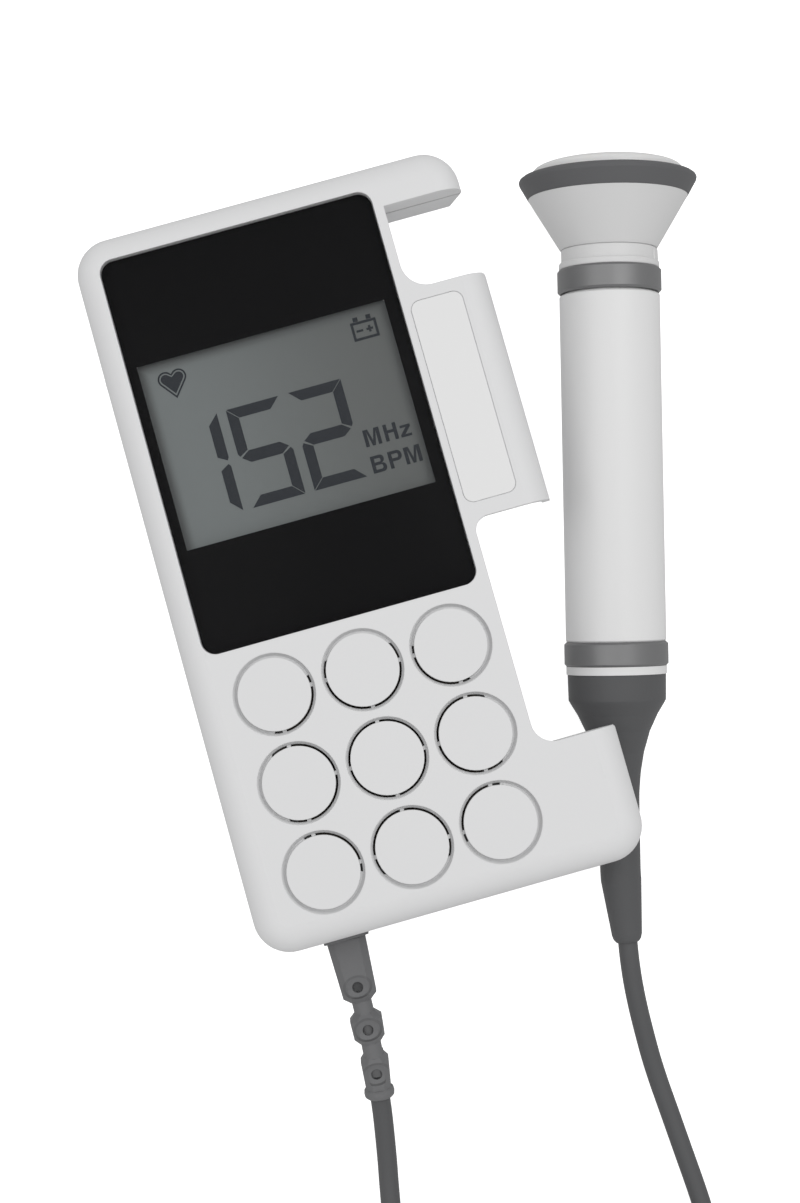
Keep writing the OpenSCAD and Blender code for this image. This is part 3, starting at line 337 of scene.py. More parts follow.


# Painted shade in the blind eyes of the strain relief and on the scoops' edges, darkest towards the
# cable.
def eyeShade(finish):
    mask = 0
    flat, slope, roundness = eyes["edge"]
    for centre in eyes["centres"]:
        across, along, up = [axis - value for axis, value in zip(finish.axes(), centre)]
        spread = across * across + along * along
        mask = mask + (spread + up * up < eyes["radius"] ** 2) * eyes["depth"]
        step = along * (1 / eyes["scoop"][1])
        oval = across * across * (1 / eyes["scoop"][0] ** 2) + step * step
        edge = (oval > eyes["inner"]) * (oval < 1) * (up > 0)
        mask = mask + edge * (flat + roundness * step * step - slope * step)
    return mask, eyes["shade"]


# Lays the marks, each a mask and a shade, over the colour.
def withMarks(finish, colour, plain, marks):
    for mark in marks:
        mask, shade = mark(finish)
        colour = finish.mixColours(mask, colour, tint(plain, shade))
    return colour


mouldedPlastic = {"specular": 0.4, "grainGloss": 0.04}


# Moulded plastic: a slow drift of shade and gloss, a fine spark-eroded grain, and darker marks.
def moulded(name, look, marks=()):
    specular = look.get("specular", mouldedPlastic["specular"])
    finish = Finish(name, {"Specular IOR Level": specular, **look.get("constants", {})})
    drift = finish.noise(look["drift"], 3)
    grain = finish.noise(look["grain"], 2)
    colour = finish.mixColours(
        drift, tint(look["colour"], 1 - look["mottle"]), tint(look["colour"], 1 + look["mottle"]))
    drifting = look["roughness"] + look["glossDrift"] * (drift - 0.5)
    finish.paint(
        colour=withMarks(finish, colour, look["colour"], marks),
        roughness=drifting + mouldedPlastic["grainGloss"] * (grain - 0.5),
    )
    finish.relief(grain, look["depth"], edge=look.get("edge", 0.0))
    return finish.material


rubbed = {"shade": 0.07, "gloss": 0.12, "toothGloss": 0.06}


# Soft rubber: matt, with a fine tooth and faint rubbed patches.
def rubber(name, look, marks=()):
    finish = Finish(name, {"Specular IOR Level": look["specular"]})
    tooth = finish.noise(look["tooth"], 3)
    rub = finish.noise(look["rub"], 4)
    colour = finish.mixColours(
        rub, tint(look["colour"], 1 - rubbed["shade"]), tint(look["colour"], 1 + rubbed["shade"]))
    patchy = look["roughness"] + rubbed["gloss"] * (rub - 0.5)
    finish.paint(
        colour=withMarks(finish, colour, look["colour"], marks),
        roughness=patchy + rubbed["toothGloss"] * (tooth - 0.5),
    )
    finish.relief(tooth, look["depth"], edge=look.get("edge", 0.0))
    return finish.material


drawn = {"shade": 0.88, "gloss": 0.2}


# Metal drawn along one direction.
def drawnMetal(name, look):
    finish = Finish(name, {"Metallic": 1.0})
    draw = finish.noise(look["scale"], 3, look["stretch"])
    finish.paint(
        colour=finish.mixColours(draw, tint(look["colour"], drawn["shade"]), look["colour"]),
        roughness=look["roughness"] + drawn["gloss"] * (draw - 0.5),
    )
    finish.relief(draw, look["depth"])
    return finish.material


# A surface with one pattern of specks, fibres or cloud between a darker and a lighter colour.
def clouded(name, look):
    finish = Finish(name, look["constants"])
    cloud = finish.noise(look["scale"], look["detail"], look.get("stretch", (1, 1, 1)))
    finish.paint(
        colour=finish.mixColours(cloud, look["dark"], look["light"]),
        roughness=look["roughness"] + look["gloss"] * cloud,
    )
    if "depth" in look:
        finish.relief(cloud, look["depth"])
    return finish.material


shellLook = {
    "colour": (0.76, 0.761, 0.766), "mottle": 0.008, "drift": 24, "glossDrift": 0.05, "roughness": 0.5,
    "grain": 3600, "depth": 0.00001, "edge": 0.00025,
}
probeLook = {
    "colour": (0.79, 0.79, 0.79), "mottle": 0.006, "drift": 30, "glossDrift": 0.04, "roughness": 0.38,
    "grain": 3000, "depth": 0.000006, "edge": 0.0001,
}
# A darker copy of the probe's plastic for its collar and head: painted shade.
shadedHeadLook = {**probeLook, "colour": (0.7, 0.7, 0.7)}
faceLook = {
    "colour": (0.78, 0.78, 0.775), "mottle": 0.01, "drift": 60, "glossDrift": 0.03, "roughness": 0.3,
    "grain": 1500, "depth": 0.000004,
    "constants": {"Subsurface Weight": 0.15, "Subsurface Radius": (0.002, 0.0018, 0.0016)},
}
gripLook = {
    "colour": (0.08, 0.081, 0.084), "mottle": 0.03, "drift": 120, "glossDrift": 0.08, "roughness": 0.44,
    "grain": 3200, "depth": 0.00001, "edge": 0.0001, "specular": 1.0, "constants": {"IOR": 1.8},
}
rimLook = {
    "colour": (0.115, 0.116, 0.12), "mottle": 0.03, "drift": 120, "glossDrift": 0.08, "roughness": 0.6,
    "grain": 3200, "depth": 0.00002, "edge": 0.0001,
}
buttonLook = {
    "colour": (0.45, 0.46, 0.475), "mottle": 0.02, "drift": 90, "glossDrift": 0.06, "roughness": 0.45,
    "grain": 3600, "depth": 0.00001, "edge": 0.0002,
}
labelLook = {
    "colour": (0.80, 0.80, 0.80), "mottle": 0.006, "drift": 40, "glossDrift": 0.05, "roughness": 0.42,
    "grain": 2200, "depth": 0.000004, "specular": 0.5,
}
innerLook = {
    "colour": (0.78, 0.78, 0.75), "mottle": 0.015, "drift": 60, "glossDrift": 0.05, "roughness": 0.5,
    "grain": 2500, "depth": 0.00001,
}
chipLook = {
    "colour": (0.035, 0.035, 0.037), "mottle": 0.15, "drift": 500, "glossDrift": 0.1, "roughness": 0.6,
    "grain": 6000, "depth": 0.00001,
}
maskLook = {
    "colour": (0.0075, 0.0075, 0.008), "mottle": 0.1, "drift": 80, "glossDrift": 0.05, "roughness": 0.8,
    "grain": 2500, "depth": 0.000004, "specular": 0.1,
}
backingLook = {
    "colour": (0.24, 0.26, 0.29), "mottle": 0.12, "drift": 700, "glossDrift": 0.1, "roughness": 0.75,
    "grain": 1800, "depth": 0.00006,
}
softRubberLook = {
    "colour": (0.096, 0.097, 0.1), "specular": 0.35, "tooth": 3400, "rub": 60, "roughness": 0.55,
    "depth": 0.00002, "edge": 0.0002,
}
reliefLook = {
    "colour": (0.158, 0.159, 0.163), "specular": 0.4, "tooth": 3400, "rub": 60, "roughness": 0.55,
    "depth": 0.00002, "edge": 0.0002,
}
jacketLook = {
    "colour": (0.092, 0.093, 0.096), "specular": 0.4, "tooth": 2600, "rub": 45, "roughness": 0.5,
    "depth": 0.00001,
}
stripLook = {
    "colour": (0.02, 0.02, 0.021), "specular": 0.3, "tooth": 2600, "rub": 90, "roughness": 0.7,
    "depth": 0.00002,
}
foamLook = {
    "colour": (0.03, 0.03, 0.032), "specular": 0.15, "tooth": 1900, "rub": 90, "roughness": 0.95,
    "depth": 0.0004,
}
steelLook = {
    "colour": (0.72, 0.72, 0.73), "scale": 900, "stretch": (1, 1, 0.1), "roughness": 0.32,
    "depth": 0.000004,
}
basketLook = {
    "colour": (0.1, 0.1, 0.1), "scale": 700, "stretch": (1, 1, 0.2), "roughness": 0.45,
    "depth": 0.000006,
}
magnetLook = {
    "colour": (0.42, 0.42, 0.44), "scale": 500, "stretch": (1, 1, 1), "roughness": 0.4,
    "depth": 0.00001,
}
paperLook = {  # pressed paper with fibres
    "dark": (0.05, 0.042, 0.035), "light": (0.1, 0.085, 0.07), "scale": 1500, "detail": 5,
    "stretch": (1, 0.3, 1), "roughness": 0.85, "gloss": 0.1, "depth": 0.00005,
    "constants": {"Specular IOR Level": 0.15},
}
ceramicLook = {  # a matt silver film on the crystals
    "dark": (0.62, 0.55, 0.4), "light": (0.78, 0.72, 0.55), "scale": 700, "detail": 4,
    "roughness": 0.38, "gloss": 0.2, "depth": 0.00001, "constants": {"Metallic": 0.8},
}
displayInk = (0.044, 0.049, 0.057)
inkLook = {
    "dark": tint(displayInk, 0.93), "light": tint(displayInk, 1.07), "scale": 600, "detail": 2,
    "roughness": 0.5, "gloss": 0.1, "constants": {"Specular IOR Level": 0.2},
}
smoke = (0.003, 0.003, 0.004)
windowLook = {  # clear enough to show the display
    "dark": smoke, "light": tint(smoke, 1.4), "scale": 40, "detail": 4, "roughness": 0.12,
    "gloss": 0.03, "constants": {"Alpha": 0.1, "Specular IOR Level": 0.13},
}
crystalLook = {
    # painted shading: lighter and greener on the left, darker on the right
    "left": (0.258, 0.284, 0.285),
    "right": (0.178, 0.189, 0.186),
    "span": (-24 * mm, 26 * mm),  # over which left turns into right
    "opening": (-23.3 * mm, 25.3 * mm, 44 * mm),  # left, right and top of what shows
    "frameShadowWidth": 2.2 * mm,
    # colour of the frame's painted shadow
    "edge": (0.15, 0.16, 0.16),
    "cloud": (0.3, 0.3, 0.28),
    "cloudShare": 0.06,
    "scale": 90,
    "roughness": 0.42,
    "gloss": 0.1,
    "tooth": 6000,
    "depth": 0.000003,
    "specular": 0.2,
}


# Reflective liquid crystal glass, with painted shading: greener and lighter on the left, where it is
# seen more steeply, and darker to the right; and a painted shadow of its frame along its left, right and
# top.
def crystalGlass():
    finish = Finish("liquid_crystal", {"Specular IOR Level": crystalLook["specular"]})
    across, up = finish.axes()[:2]
    left, right, top = crystalLook["opening"]
    inward = finish.smaller(finish.smaller(across - left, right - across), top - up)
    # Painted shadow of the frame, within its width of the opening's left, right and top edges.
    lit = finish.rise(inward, 0, crystalLook["frameShadowWidth"])
    fade = finish.rise(across, *crystalLook["span"])
    mottle = finish.noise(crystalLook["scale"], 4)
    glass = finish.mixColours(fade, crystalLook["left"], crystalLook["right"])
    frameShadowed = finish.mixColours(lit, crystalLook["edge"], glass)
    finish.paint(
        colour=finish.mixColours(crystalLook["cloudShare"] * mottle, frameShadowed, crystalLook["cloud"]),
        roughness=crystalLook["roughness"] + crystalLook["gloss"] * mottle,
    )
    finish.relief(finish.noise(crystalLook["tooth"], 1), crystalLook["depth"])
    return finish.material


boardLook = {
    "bare": (0.014, 0.085, 0.035),
    "copper": (0.03, 0.16, 0.06),
    "cloud": (0.01, 0.05, 0.02),
    "cloudShare": 0.25,
    "runs": {"Scale": 260, "Mortar Size": 0.06},
    "stagger": 0.35,
    "faint": (0.7, 0.7, 0.7, 1),  # every other run
    "scale": 180,
    "roughness": 0.35,
    "gloss": 0.2,
    "depth": 0.00003,
    "specular": 0.5,
}


# Green board: solder mask over copper runs.
def circuitBoard():
    finish = Finish("solder_mask", {"Specular IOR Level": boardLook["specular"]})
    runs = finish.node(
        "ShaderNodeTexBrick", {"offset": boardLook["stagger"]},
        {"Vector": finish.place(), **boardLook["runs"], "Color1": (1, 1, 1, 1),
         "Color2": boardLook["faint"], "Mortar": (0, 0, 0, 1)}, "Fac")
    cloud = finish.noise(boardLook["scale"], 3)
    mask = finish.mixColours(runs, boardLook["bare"], boardLook["copper"])
    finish.paint(
        colour=finish.mixColours(boardLook["cloudShare"] * cloud, mask, boardLook["cloud"]),
        roughness=boardLook["roughness"] + boardLook["gloss"] * cloud,
    )
    finish.relief(runs, boardLook["depth"])
    return finish.material


cellLook = {
    "wrap": (0.05, 0.09, 0.075),
    "band": (0.42, 0.43, 0.44),
    "metal": (0.75, 0.75, 0.74),
    "bare": 1.7 * mm,  # of metal at each end
    "bandFrom": 14 * mm,  # from the upper end
    "bandTo": 6 * mm,
    "metallic": 0.95,
    "scuff": 300,
    "roughness": 0.25,
    "gloss": 0.15,
    "depth": 0.00001,
    "specular": 0.5,
}


# Battery cells: a shrink wrap with a pale band, and bare metal at both ends.
def cellWrap():
    finish = Finish("cell_wrap", {"Specular IOR Level": cellLook["specular"]})
    low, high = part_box("battery_cells")
    along = finish.axes()[1]
    bare = (along < low.y + cellLook["bare"]) + (along > high.y - cellLook["bare"])
    band = (along > high.y - cellLook["bandFrom"]) * (along < high.y - cellLook["bandTo"])
    scuff = finish.noise(cellLook["scuff"], 3)
    wrap = finish.mixColours(band, cellLook["wrap"], cellLook["band"])
    finish.paint(
        colour=finish.mixColours(bare, wrap, cellLook["metal"]),
        metallic=bare * cellLook["metallic"],
        roughness=cellLook["roughness"] + cellLook["gloss"] * scuff,
    )
    finish.relief(scuff, cellLook["depth"])
    return finish.material


buttonMarks = {
    "ink": (0.07, 0.072, 0.078),
    "ringOutside": 1.5 * mm,
    "ringInside": 1.15 * mm,
    "ringGap": 0.5 * mm,  # half the opening at the top of the ring
    "stroke": 0.19 * mm,  # half the width of the bars
    "reach": 1.2 * mm,
    "barBottom": 0.3 * mm,  # of the power sign's bar, from the button's middle
    "barTop": 1.8 * mm,
    "skin": 0.1 * mm,  # how deep the outer face is printed
    "gloss": 0.1,
}


# Grey button with a printed sign: a power ring, a plus or a minus, read with the monitor lying face up.
def markedButton(nodeName, sign):
    finish = Finish(nodeName, {"Specular IOR Level": mouldedPlastic["specular"]})
    low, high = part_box(nodeName)
    x, y, z = finish.axes()
    along, across = y - (low.y + high.y) / 2, z - (low.z + high.z) / 2
    stroke, reach = buttonMarks["stroke"] ** 2, buttonMarks["reach"] ** 2
    upright = (along * along < stroke) * (across * across < reach)
    level = (across * across < stroke) * (along * along < reach)
    if sign == "power":
        spread = along * along + across * across
        ring = (spread < buttonMarks["ringOutside"] ** 2) * (spread > buttonMarks["ringInside"] ** 2)
        gap = (along * along < buttonMarks["ringGap"] ** 2) * (across > 0)
        bar = (along * along < stroke) * (across > buttonMarks["barBottom"])
        bar = bar * (across < buttonMarks["barTop"])
        mark = finish.larger(ring * (1 - gap), bar)
    elif sign == "plus":
        mark = finish.larger(upright, level)
    else:
        mark = level
    mark = mark * (x < low.x + buttonMarks["skin"])
    drift = finish.noise(buttonLook["drift"], 3)
    grain = finish.noise(buttonLook["grain"], 2)
    darker = tint(buttonLook["colour"], 1 - buttonLook["mottle"])
    lighter = tint(buttonLook["colour"], 1 + buttonLook["mottle"])
    drifting = buttonLook["roughness"] + buttonLook["glossDrift"] * (drift - 0.5)
    finish.paint(
        colour=finish.mixColours(mark, finish.mixColours(drift, darker, lighter), buttonMarks["ink"]),
        roughness=drifting + buttonMarks["gloss"] * mark,
    )
    finish.relief(grain, buttonLook["depth"], edge=buttonLook["edge"])
    return finish.material


shell = moulded("moulded_shell", shellLook, [partingLine])
frontShell = moulded("front_shell", shellLook, [partingLine, ringGrooves])
probeShell = moulded("probe_shell", probeLook)
shadedHeadShell = moulded("head_shell_shaded", shadedHeadLook)
grip = moulded("grip_grey", gripLook)
softRubber = rubber("soft_rubber", softRubberLook)
jacket = rubber("cable_jacket", jacketLook)
inner = moulded("inner_white", innerLook)
chip = moulded("chip_black", chipLook)
steel = drawnMetal("plated_steel", steelLook)
board = circuitBoard()
screenInk = clouded("display_ink", inkLook)
sensing = moulded("sensing_face", faceLook)

nodeFinishes = {
    "front_case": frontShell,
    "rear_case": shell,
    "battery_door": shell,
    "window_mask": moulded("printed_mask", maskLook),
    "lcd_glass": crystalGlass(),
    "lcd_tray": inner,
    "contact_strips": rubber("contact_rubber", stripLook),
    "main_board": board,
    "probe_board": board,
    "board_chips": chip,
    "board_screws": steel,
    "loudspeaker_basket": drawnMetal("speaker_steel", basketLook),
    "loudspeaker_cone": clouded("paper_cone", paperLook),
    "loudspeaker_magnet": drawnMetal("magnet", magnetLook),
    "loudspeaker_gasket": rubber("foam", foamLook),
    "tab_label": moulded("label_film", labelLook),
    "power_button": markedButton("power_button", "power"),
    "volume_up_button": markedButton("volume_up_button", "plus"),
    "volume_down_button": markedButton("volume_down_button", "minus"),
    "side_switches": chip,
    "headphone_socket": chip,
    "battery_cells": cellWrap(),
    "battery_contacts": steel,
    "case_screws": steel,
    "cable_strain_relief": rubber("relief_rubber", reliefLook, [eyeShade]),
    "inner_lead": jacket,
    "lead_plug": inner,
    "probe_barrel": probeShell,
    "probe_end_ring": probeShell,
    "probe_collar": shadedHeadShell,
    "probe_head": shadedHeadShell,
    "probe_face": sensing,
    "probe_upper_band": grip,
    "probe_lower_band": grip,
    "probe_rim": moulded("rim_grey", rimLook),
    "probe_boot": softRubber,
    "probe_crystals": clouded("silvered_ceramic", ceramicLook),
    "probe_backing": moulded("backing", backingLook),
}


def coat(piece, finish):
    piece.data.materials.clear()
    piece.data.materials.append(finish)


for nodeName, finish in nodeFinishes.items():
    coat(cadNodes[nodeName], finish)
coat(cord, jacket)
print("finishes made:", len(nodeFinishes))


# The corners of a rectangle, anticlockwise.
def rectangle(left, bottom, width, height):
    right, top = left + width, bottom + height
    return [(left, bottom), (right, bottom), (right, top), (left, top)]


# A flat face with the outline's corners, given anticlockwise.
def addOutline(bm, outline, z):
    return bm.faces.new([bm.verts.new((x, y, z)) for x, y in outline])


# Flat faces between two outlines with as many corners each.
def addFrame(bm, outside, inside, z):
    edges = []
    for outline in (outside, inside):
        corners = [bm.verts.new((x, y, z)) for x, y in outline]
        edges += [bm.edges.new(pair) for pair in zip(corners, corners[1:] + corners[:1])]
    bmesh.ops.bridge_loops(bm, edges=edges)


# Gives flat faces a thickness, and returns their raised corners.
def raisePlate(bm, faces, thickness):
    grown = bmesh.ops.extrude_face_region(bm, geom=faces, use_keep_orig=True)
    raised = [part for part in grown["geom"] if isinstance(part, bmesh.types.BMVert)]
    bmesh.ops.translate(bm, verts=raised, vec=(0, 0, thickness))
    return raised


# Turns a bmesh into a piece of the object, which moves with the body.
def finishPiece(bm, name, finish, body):
    bmesh.ops.recalc_face_normals(bm, faces=bm.faces)
    mesh = bpy.data.meshes.new(name)
    bm.to_mesh(mesh)
    bm.free()
    piece = bpy.data.objects.new(name, mesh)
    bpy.context.collection.objects.link(piece)
    coat(piece, finish)
    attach(piece, body)
    return piece


window = {
    "corner": 2.7 * mm, "cornerSteps": 10, "edge": 0.15 * mm, "edgeSteps": 3,
    "lift": 0.03 * mm,  # over its printed mask
}


# The window's pane, a hair above its printed mask, with a polished edge.
def glazeWindow():
    low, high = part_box("display_window")
    bm = bmesh.new()
    outline = rectangle(low.x, low.y, high.x - low.x, high.y - low.y)
    pane = addOutline(bm, outline, low.z + window["lift"])
    bmesh.ops.bevel(
        bm, geom=pane.verts[:], offset=window["corner"], segments=window["cornerSteps"],
        profile=0.5, affect="VERTICES", material=-1)
    raised = raisePlate(bm, bm.faces[:], high.z - low.z - window["lift"])
    rim = [edge for edge in bm.edges if all(corner in raised for corner in edge.verts)]
    bmesh.ops.bevel(
        bm, geom=rim, offset=window["edge"], segments=window["edgeSteps"], profile=0.5,
        affect="EDGES", material=-1)
    glass = clouded("window_gloss", windowLook)
    piece = finishPiece(bm, "window_pane", glass, "monitor")
    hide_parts("display_window")


glazeWindow()


sensingFace = {
    "origin": (51.7 * mm, -32.2 * mm, 10.368 * mm),  # the probe's own origin, in its lower band
    "tilt": math.radians(4.346),  # of the probe off the table
    "turn": math.radians(14.53),
    "radius": 14.75 * mm,
    "back": 91.85 * mm,  # from the probe's origin, along the probe
    "shoulder": 95.2 * mm,
    "top": 97.4 * mm,
    "fullness": 3,  # of the crown, where 2 is an ellipse
    "rings": 14,
    "steps": 96,
    "weld": 0.001 * mm,
    "flatTo": 0.1 * mm,  # over its back, up to where the faces aren't smooth
}


# The sensing face: a plug with a full shoulder and a low crown, spun about the probe's axis.
def turnSensingFace():
    radius, back, shoulder = (sensingFace[key] for key in ("radius", "back", "shoulder"))
    crown, fullness = sensingFace["top"] - shoulder, sensingFace["fullness"]
    profile = [(0, back), (radius, back)]
    for ring in range(sensingFace["rings"] + 1):
        out = math.cos(0.5 * math.pi * ring / sensingFace["rings"])
        profile.append((radius * out, shoulder + crown * math.sqrt(1 - out ** fullness)))
    bm = bmesh.new()
    spots = [bm.verts.new((out, 0, along)) for out, along in profile]
    lines = [bm.edges.new(pair) for pair in zip(spots, spots[1:])]
    bmesh.ops.spin(
        bm, geom=spots + lines, cent=(0, 0, 0), axis=(0, 0, 1), angle=2 * math.pi,
        steps=sensingFace["steps"], use_merge=True)
    bmesh.ops.remove_doubles(bm, verts=bm.verts, dist=sensingFace["weld"])
    for face in bm.faces:
        face.smooth = face.calc_center_median().z > back + sensingFace["flatTo"]
    lean = Euler((sensingFace["tilt"] - 0.5 * math.pi, 0, -sensingFace["turn"])).to_matrix().to_4x4()
    place = Matrix.Translation(sensingFace["origin"])
    bmesh.ops.transform(bm, matrix=place @ lean, verts=bm.verts)
    piece = finishPiece(bm, "sensing_face", sensing, "probe")
    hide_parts("probe_face")


turnSensingFace()
print("window pane and sensing face made")


digits = {
    "reading": "152",
    "corner": (-22.5 * mm, -13.4 * mm),  # lower left corner of the first, from the glass's middle
    "width": 10.4 * mm,
    "height": 19.4 * mm,
    "pitch": 12.2 * mm,
    "bar": 2.05 * mm,
    "hairline": 0.1 * mm,
    "tip": 0.6 * mm,
    "mitre": (0.35 * mm, 0.35 * mm, 0.9 * mm),  # inward, and the heights of its two corners
    "middleHalf": 0.56,  # half the middle bar's thickness, in bars
    "sideStart": 0.6,  # where the side bars' inner edges start over the middle, in bars
    "ink": 0.03 * mm,
    "lift": 0.01 * mm,  # over the glass
}
litBars = {"1": "bc", "2": "abged", "5": "afgcd"}  # a is the top bar, and g the middle one

glassLow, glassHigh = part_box("lcd_glass")
glassMiddle = (glassLow + glassHigh) / 2
glassTop = glassHigh.z + digits["lift"]


def mirrored(outline, width):
    return [(width - x, y) for x, y in reversed(outline)]


def flipped(outline, height):
    return [(x, height - y) for x, y in reversed(outline)]


def onGlass(outline):
    return [(glassMiddle.x + x, glassMiddle.y + y) for x, y in outline]


# The seven bars of a digit, mitred where they meet.
def barOutlines():
    width, height, bar, gap, tip = (digits[key] for key in ("width", "height", "bar", "hairline", "tip"))
    inward, lower, upper = digits["mitre"]
    half, thick = height / 2, digits["middleHalf"] * bar
    left, right = bar + gap, width - bar - gap
    upperLeft = [
        (0, height - gap), (0, half + upper), (inward, half + lower),
        (bar, half + digits["sideStart"] * bar + gap), (bar, height - bar - gap),
    ]
    top = [(gap, height), (left, height - bar), (right, height - bar), (width - gap, height)]
    middle = [
        (tip, half), (left, half - thick), (right, half - thick), (width - tip, half),
        (right, half + thick), (left, half + thick),
    ]
    upperRight = mirrored(upperLeft, width)
    return {
        "a": top, "b": upperRight, "c": flipped(upperRight, height), "d": flipped(top, height),
        "e": flipped(upperLeft, height), "f": upperLeft, "g": middle,
    }


def showDigits():
    bars = barOutlines()
    bm = bmesh.new()
    for place, digit in enumerate(digits["reading"]):
        left = digits["corner"][0] + place * digits["pitch"]
        for bar in litBars[digit]:
            outline = [(left + x, digits["corner"][1] + y) for x, y in bars[bar]]
            addOutline(bm, onGlass(outline), glassTop)
    raisePlate(bm, bm.faces[:], digits["ink"])
    finishPiece(bm, "display_digits", screenInk, "monitor")


heart = {
    "lobe": 1.49 * mm,  # radius of each lobe
    "apart": 1.28 * mm,  # from the middle line to a lobe's centre
    "centre": (-18.47 * mm, 14.71 * mm),  # middle of the lobes, from the glass's middle
    "drop": 4.02 * mm,  # from there down to the tip
    "stroke": 0.32 * mm,
    "clear": 0.26 * mm,
    "steps": 18,
}


# A heart of two arcs and two straight sides, drawn inside the outermost one by inset.
def heartOutline(inset):
    radius, apart, drop = heart["lobe"], heart["apart"], heart["drop"]
    # How far the straight sides lean from upright
    lean = math.atan2(apart, drop) + math.asin(radius / math.hypot(apart, drop))
    first, last = math.pi - math.acos(apart / radius), -lean
    notch = (0, radius * math.sin(first) - inset)
    tip = (0, inset / math.sin(lean) - drop)
    right = []
    for step in range(1, heart["steps"] + 1):
        angle = first + (last - first) * step / heart["steps"]
        right.append((apart + (radius - inset) * math.cos(angle), (radius - inset) * math.sin(angle)))
    left = [(-x, y) for x, y in right]
    outline = [notch] + left + [tip] + right[::-1]
    return [(heart["centre"][0] + x, heart["centre"][1] + y) for x, y in outline]


cellSign = {
    "corner": (16.85 * mm, 12.02 * mm),
    "width": 5 * mm,
    "height": 3.63 * mm,
    "line": 0.5 * mm,
    "poles": (0.7 * mm, 3.25 * mm),  # left edges
    "pole": (0.95 * mm, 0.85 * mm),
    "poleGap": 0.06 * mm,
    "minusLeft": 0.85 * mm,
    "plusMiddle": 3.45 * mm,
    "mark": 1.3 * mm,
    "stroke": 0.44 * mm,
}


def showSigns():
    bm = bmesh.new()
    stroke, clear = heart["stroke"], heart["clear"]
    addFrame(bm, onGlass(heartOutline(0)), onGlass(heartOutline(stroke)), glassTop)
    addOutline(bm, onGlass(heartOutline(stroke + clear)), glassTop)
    x, y = cellSign["corner"]
    width, height, line, mark = (cellSign[key] for key in ("width", "height", "line", "mark"))
    hollow = rectangle(x + line, y + line, width - 2 * line, height - 2 * line)
    addFrame(bm, onGlass(rectangle(x, y, width, height)), onGlass(hollow), glassTop)
    for left in cellSign["poles"]:
        pole = rectangle(x + left, y + height + cellSign["poleGap"], *cellSign["pole"])
        addOutline(bm, onGlass(pole), glassTop)
    middle, half, arm = y + height / 2, cellSign["stroke"] / 2, mark / 2
    minus = rectangle(x + cellSign["minusLeft"], middle - half, mark, 2 * half)
    addOutline(bm, onGlass(minus), glassTop)
    plus = [
        (-arm, -half), (-half, -half), (-half, -arm), (half, -arm), (half, -half), (arm, -half),
        (arm, half), (half, half), (half, arm), (-half, arm), (-half, half), (-arm, half),
    ]
    centre = x + cellSign["plusMiddle"]
    addOutline(bm, onGlass([(centre + dx, middle + dy) for dx, dy in plus]), glassTop)
    raisePlate(bm, bm.faces[:], digits["ink"])
    finishPiece(bm, "display_signs", screenInk, "monitor")


letters = {
    "capital": 3.3 * mm,
    "small": 2.3 * mm,  # height of the z
    "stroke": 0.68 * mm,
    "bar": 0.58 * mm,  # thickness of level strokes
    "weld": 0.002 * mm,
}
# Shares: notch, fork, beam and waist of the height, halfTip and slant of the stroke, bar of the other
# letters' bar, inset of the width, and the bowl's corners of its own height.
shapeM = {"width": 3.15 * mm, "notch": 0.84, "fork": 0.3, "halfTip": 0.42, "slant": 1.45}
shapeH = {"width": 2.5 * mm, "beam": 0.46}
shapeZ = {"width": 2.1 * mm, "bar": 0.85, "inset": 0.06, "slant": 1.3}
shapeP = {"width": 2.6 * mm, "waist": 0.4}
shapeB = {"lower": 2.75 * mm, "upper": 2.55 * mm, "waist": 0.52}
bowl = {"outerCorner": 0.46, "innerCorner": 0.4, "start": 0.1 * mm, "steps": 6}
units = [
    {"words": "MHz", "corner": (13.57 * mm, -8.06 * mm), "lefts": (0, 3.94 * mm, 6.93 * mm)},
    {"words": "BPM", "corner": (13.6 * mm, -13.3 * mm), "lefts": (0, 3.4 * mm, 6.5 * mm)},
]


# The slanted strokes of the M meet in a blunt tip on the line.
def letterM(height, stroke):
    width = shapeM["width"]
    middle, tip, slant = width / 2, shapeM["halfTip"] * stroke, shapeM["slant"] * stroke
    notch, fork = shapeM["notch"] * height, shapeM["fork"] * height
    return [
        (0, 0), (stroke, 0), (stroke, notch), (middle - tip, 0), (middle + tip, 0),
        (width - stroke, notch), (width - stroke, 0), (width, 0), (width, height),
        (width - slant, height), (middle, fork), (slant, height), (0, height),
    ]


def letterH(height, stroke):
    width, low = shapeH["width"], shapeH["beam"] * height
    high, right = low + letters["bar"], width - stroke
    return [
        (0, 0), (stroke, 0), (stroke, low), (right, low), (right, 0), (width, 0),
        (width, height), (right, height), (right, high), (stroke, high), (stroke, height), (0, height),
    ]


def letterZ(height, stroke):
    width, bar = shapeZ["width"], shapeZ["bar"] * letters["bar"]
    slant, left = shapeZ["slant"] * stroke, shapeZ["inset"] * width
    return [
        (0, 0), (width, 0), (width, bar), (slant, bar), (width, height - bar), (width, height),
        (left, height), (left, height - bar), (width - slant, height - bar), (0, bar),
    ]


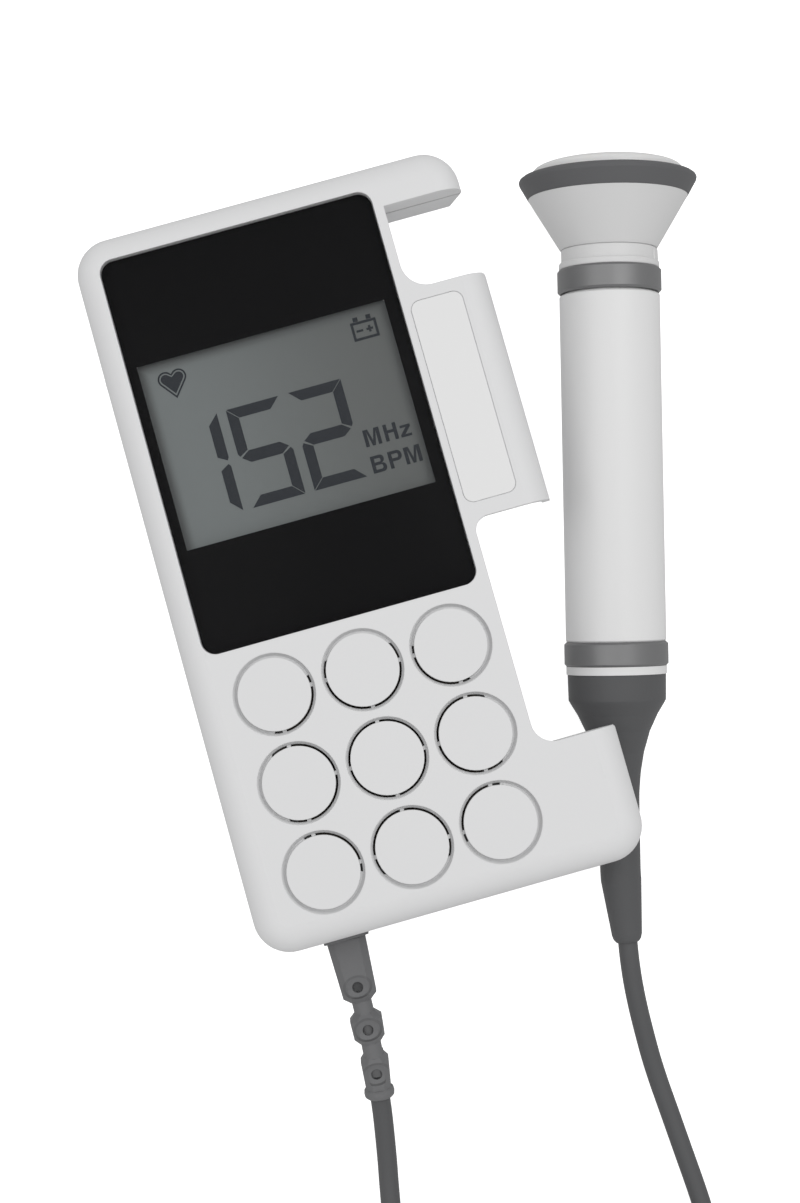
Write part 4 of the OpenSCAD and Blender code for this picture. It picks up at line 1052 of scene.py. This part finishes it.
# A bowl on a stem: a frame with a corner above and below the stroke, and round corners on its right.
def addBowl(bm, spot, low, high, width, lowBar, highBar):
    stroke = letters["stroke"]
    side, floor, ceiling = stroke + bowl["start"], low + lowBar, high - highBar
    loops = (
        [(0, low), (stroke, low), (width, low), (width, high), (stroke, high), (0, high)],
        [(stroke, floor), (side, floor), (width - stroke, floor),
         (width - stroke, ceiling), (side, ceiling), (stroke, ceiling)],
    )
    radii = (
        bowl["outerCorner"] * (high - low), bowl["innerCorner"] * (high - low - lowBar - highBar))
    rings = []
    for loop, radius in zip(loops, radii):
        others = set(bm.faces)
        face = addOutline(bm, onGlass([(spot[0] + x, spot[1] + y) for x, y in loop]), glassTop)
        bmesh.ops.bevel(
            bm, geom=[face.verts[2], face.verts[3]], offset=radius, segments=bowl["steps"],
            profile=0.5, affect="VERTICES", material=-1)
        face = next(face for face in bm.faces if face not in others)
        rings += face.edges[:]
        bmesh.ops.delete(bm, geom=[face], context="FACES_ONLY")
    bmesh.ops.bridge_loops(bm, edges=rings)


def addLetter(bm, letter, spot):
    tall, stroke, bar = letters["capital"], letters["stroke"], letters["bar"]
    if letter == "P":
        waist = shapeP["waist"] * tall
        addBowl(bm, spot, waist, tall, shapeP["width"], bar, bar)
        addOutline(bm, onGlass(rectangle(*spot, stroke, waist)), glassTop)
    elif letter == "B":
        waist = shapeB["waist"] * tall
        addBowl(bm, spot, waist, tall, shapeB["upper"], bar / 2, bar)
        addBowl(bm, spot, 0, waist, shapeB["lower"], bar, bar / 2)
    else:
        outline = {
            "M": letterM(tall, stroke), "H": letterH(tall, stroke),
            "z": letterZ(letters["small"], stroke),
        }[letter]
        addOutline(bm, onGlass([(spot[0] + x, spot[1] + y) for x, y in outline]), glassTop)


# MHz and BPM in plain upright letters.
def showUnits():
    bm = bmesh.new()
    for unit in units:
        for letter, left in zip(unit["words"], unit["lefts"]):
            addLetter(bm, letter, (unit["corner"][0] + left, unit["corner"][1]))
    bmesh.ops.remove_doubles(bm, verts=bm.verts, dist=letters["weld"])
    raisePlate(bm, bm.faces[:], digits["ink"])
    finishPiece(bm, "display_units", screenInk, "monitor")


showDigits()
showSigns()
showUnits()
print("display marks made")


room = {
    "middle": (0.02, -0.02, 0.01),  # what the lights point at
    "floorSize": 3.0,  # half its side
    "floorColour": (0.9, 0.9, 0.9),
    "floorRoughness": 0.9,
    "floorSpecular": 0.1,
    "floorGlow": 0.8,
    "world": 0.58,
}
lights = {
    "left": {"place": (-0.44, 0.14, 0.95), "size": (0.5, 0.9), "power": 1.75},
    "right": {"place": (0.5, 0.14, 0.95), "size": (0.5, 0.9), "power": 2.75},
    "front": {"place": (0.05, -0.95, 0.5), "size": (1.0, 0.6), "power": 0.4},
}


def layFloor():
    bm = bmesh.new()
    bmesh.ops.create_grid(bm, x_segments=1, y_segments=1, size=room["floorSize"])
    mesh = bpy.data.meshes.new("floor")
    bm.to_mesh(mesh)
    bm.free()
    floor = bpy.data.objects.new("floor", mesh)
    bpy.context.collection.objects.link(floor)
    finish = Finish("floor", {
        "Roughness": room["floorRoughness"], "Specular IOR Level": room["floorSpecular"],
        "Base Color": (*room["floorColour"], 1), "Emission Color": (1, 1, 1, 1),
        "Emission Strength": room["floorGlow"],
    })
    coat(floor, finish.material)
    floor.visible_diffuse = False  # the white ground throws no light up on the object
    floor.visible_glossy = False


def hangLights():
    middle = Vector(room["middle"])
    for name, light in lights.items():
        lamp = bpy.data.lights.new(name, "AREA")
        lamp.shape = "RECTANGLE"
        lamp.size, lamp.size_y = light["size"]
        lamp.energy = light["power"]
        holder = bpy.data.objects.new(name, lamp)
        bpy.context.collection.objects.link(holder)
        holder.location = light["place"]
        holder.rotation_euler = (middle - Vector(light["place"])).to_track_quat("-Z", "Y").to_euler()
    world = bpy.data.worlds.new("studio")
    world.use_nodes = True
    world.node_tree.nodes["Background"].inputs[0].default_value = (1, 1, 1, 1)
    world.node_tree.nodes["Background"].inputs[1].default_value = room["world"]
    bpy.context.scene.world = world
    bpy.context.scene.view_settings.view_transform = "Standard"


layFloor()
hangLights()
print("room lit")
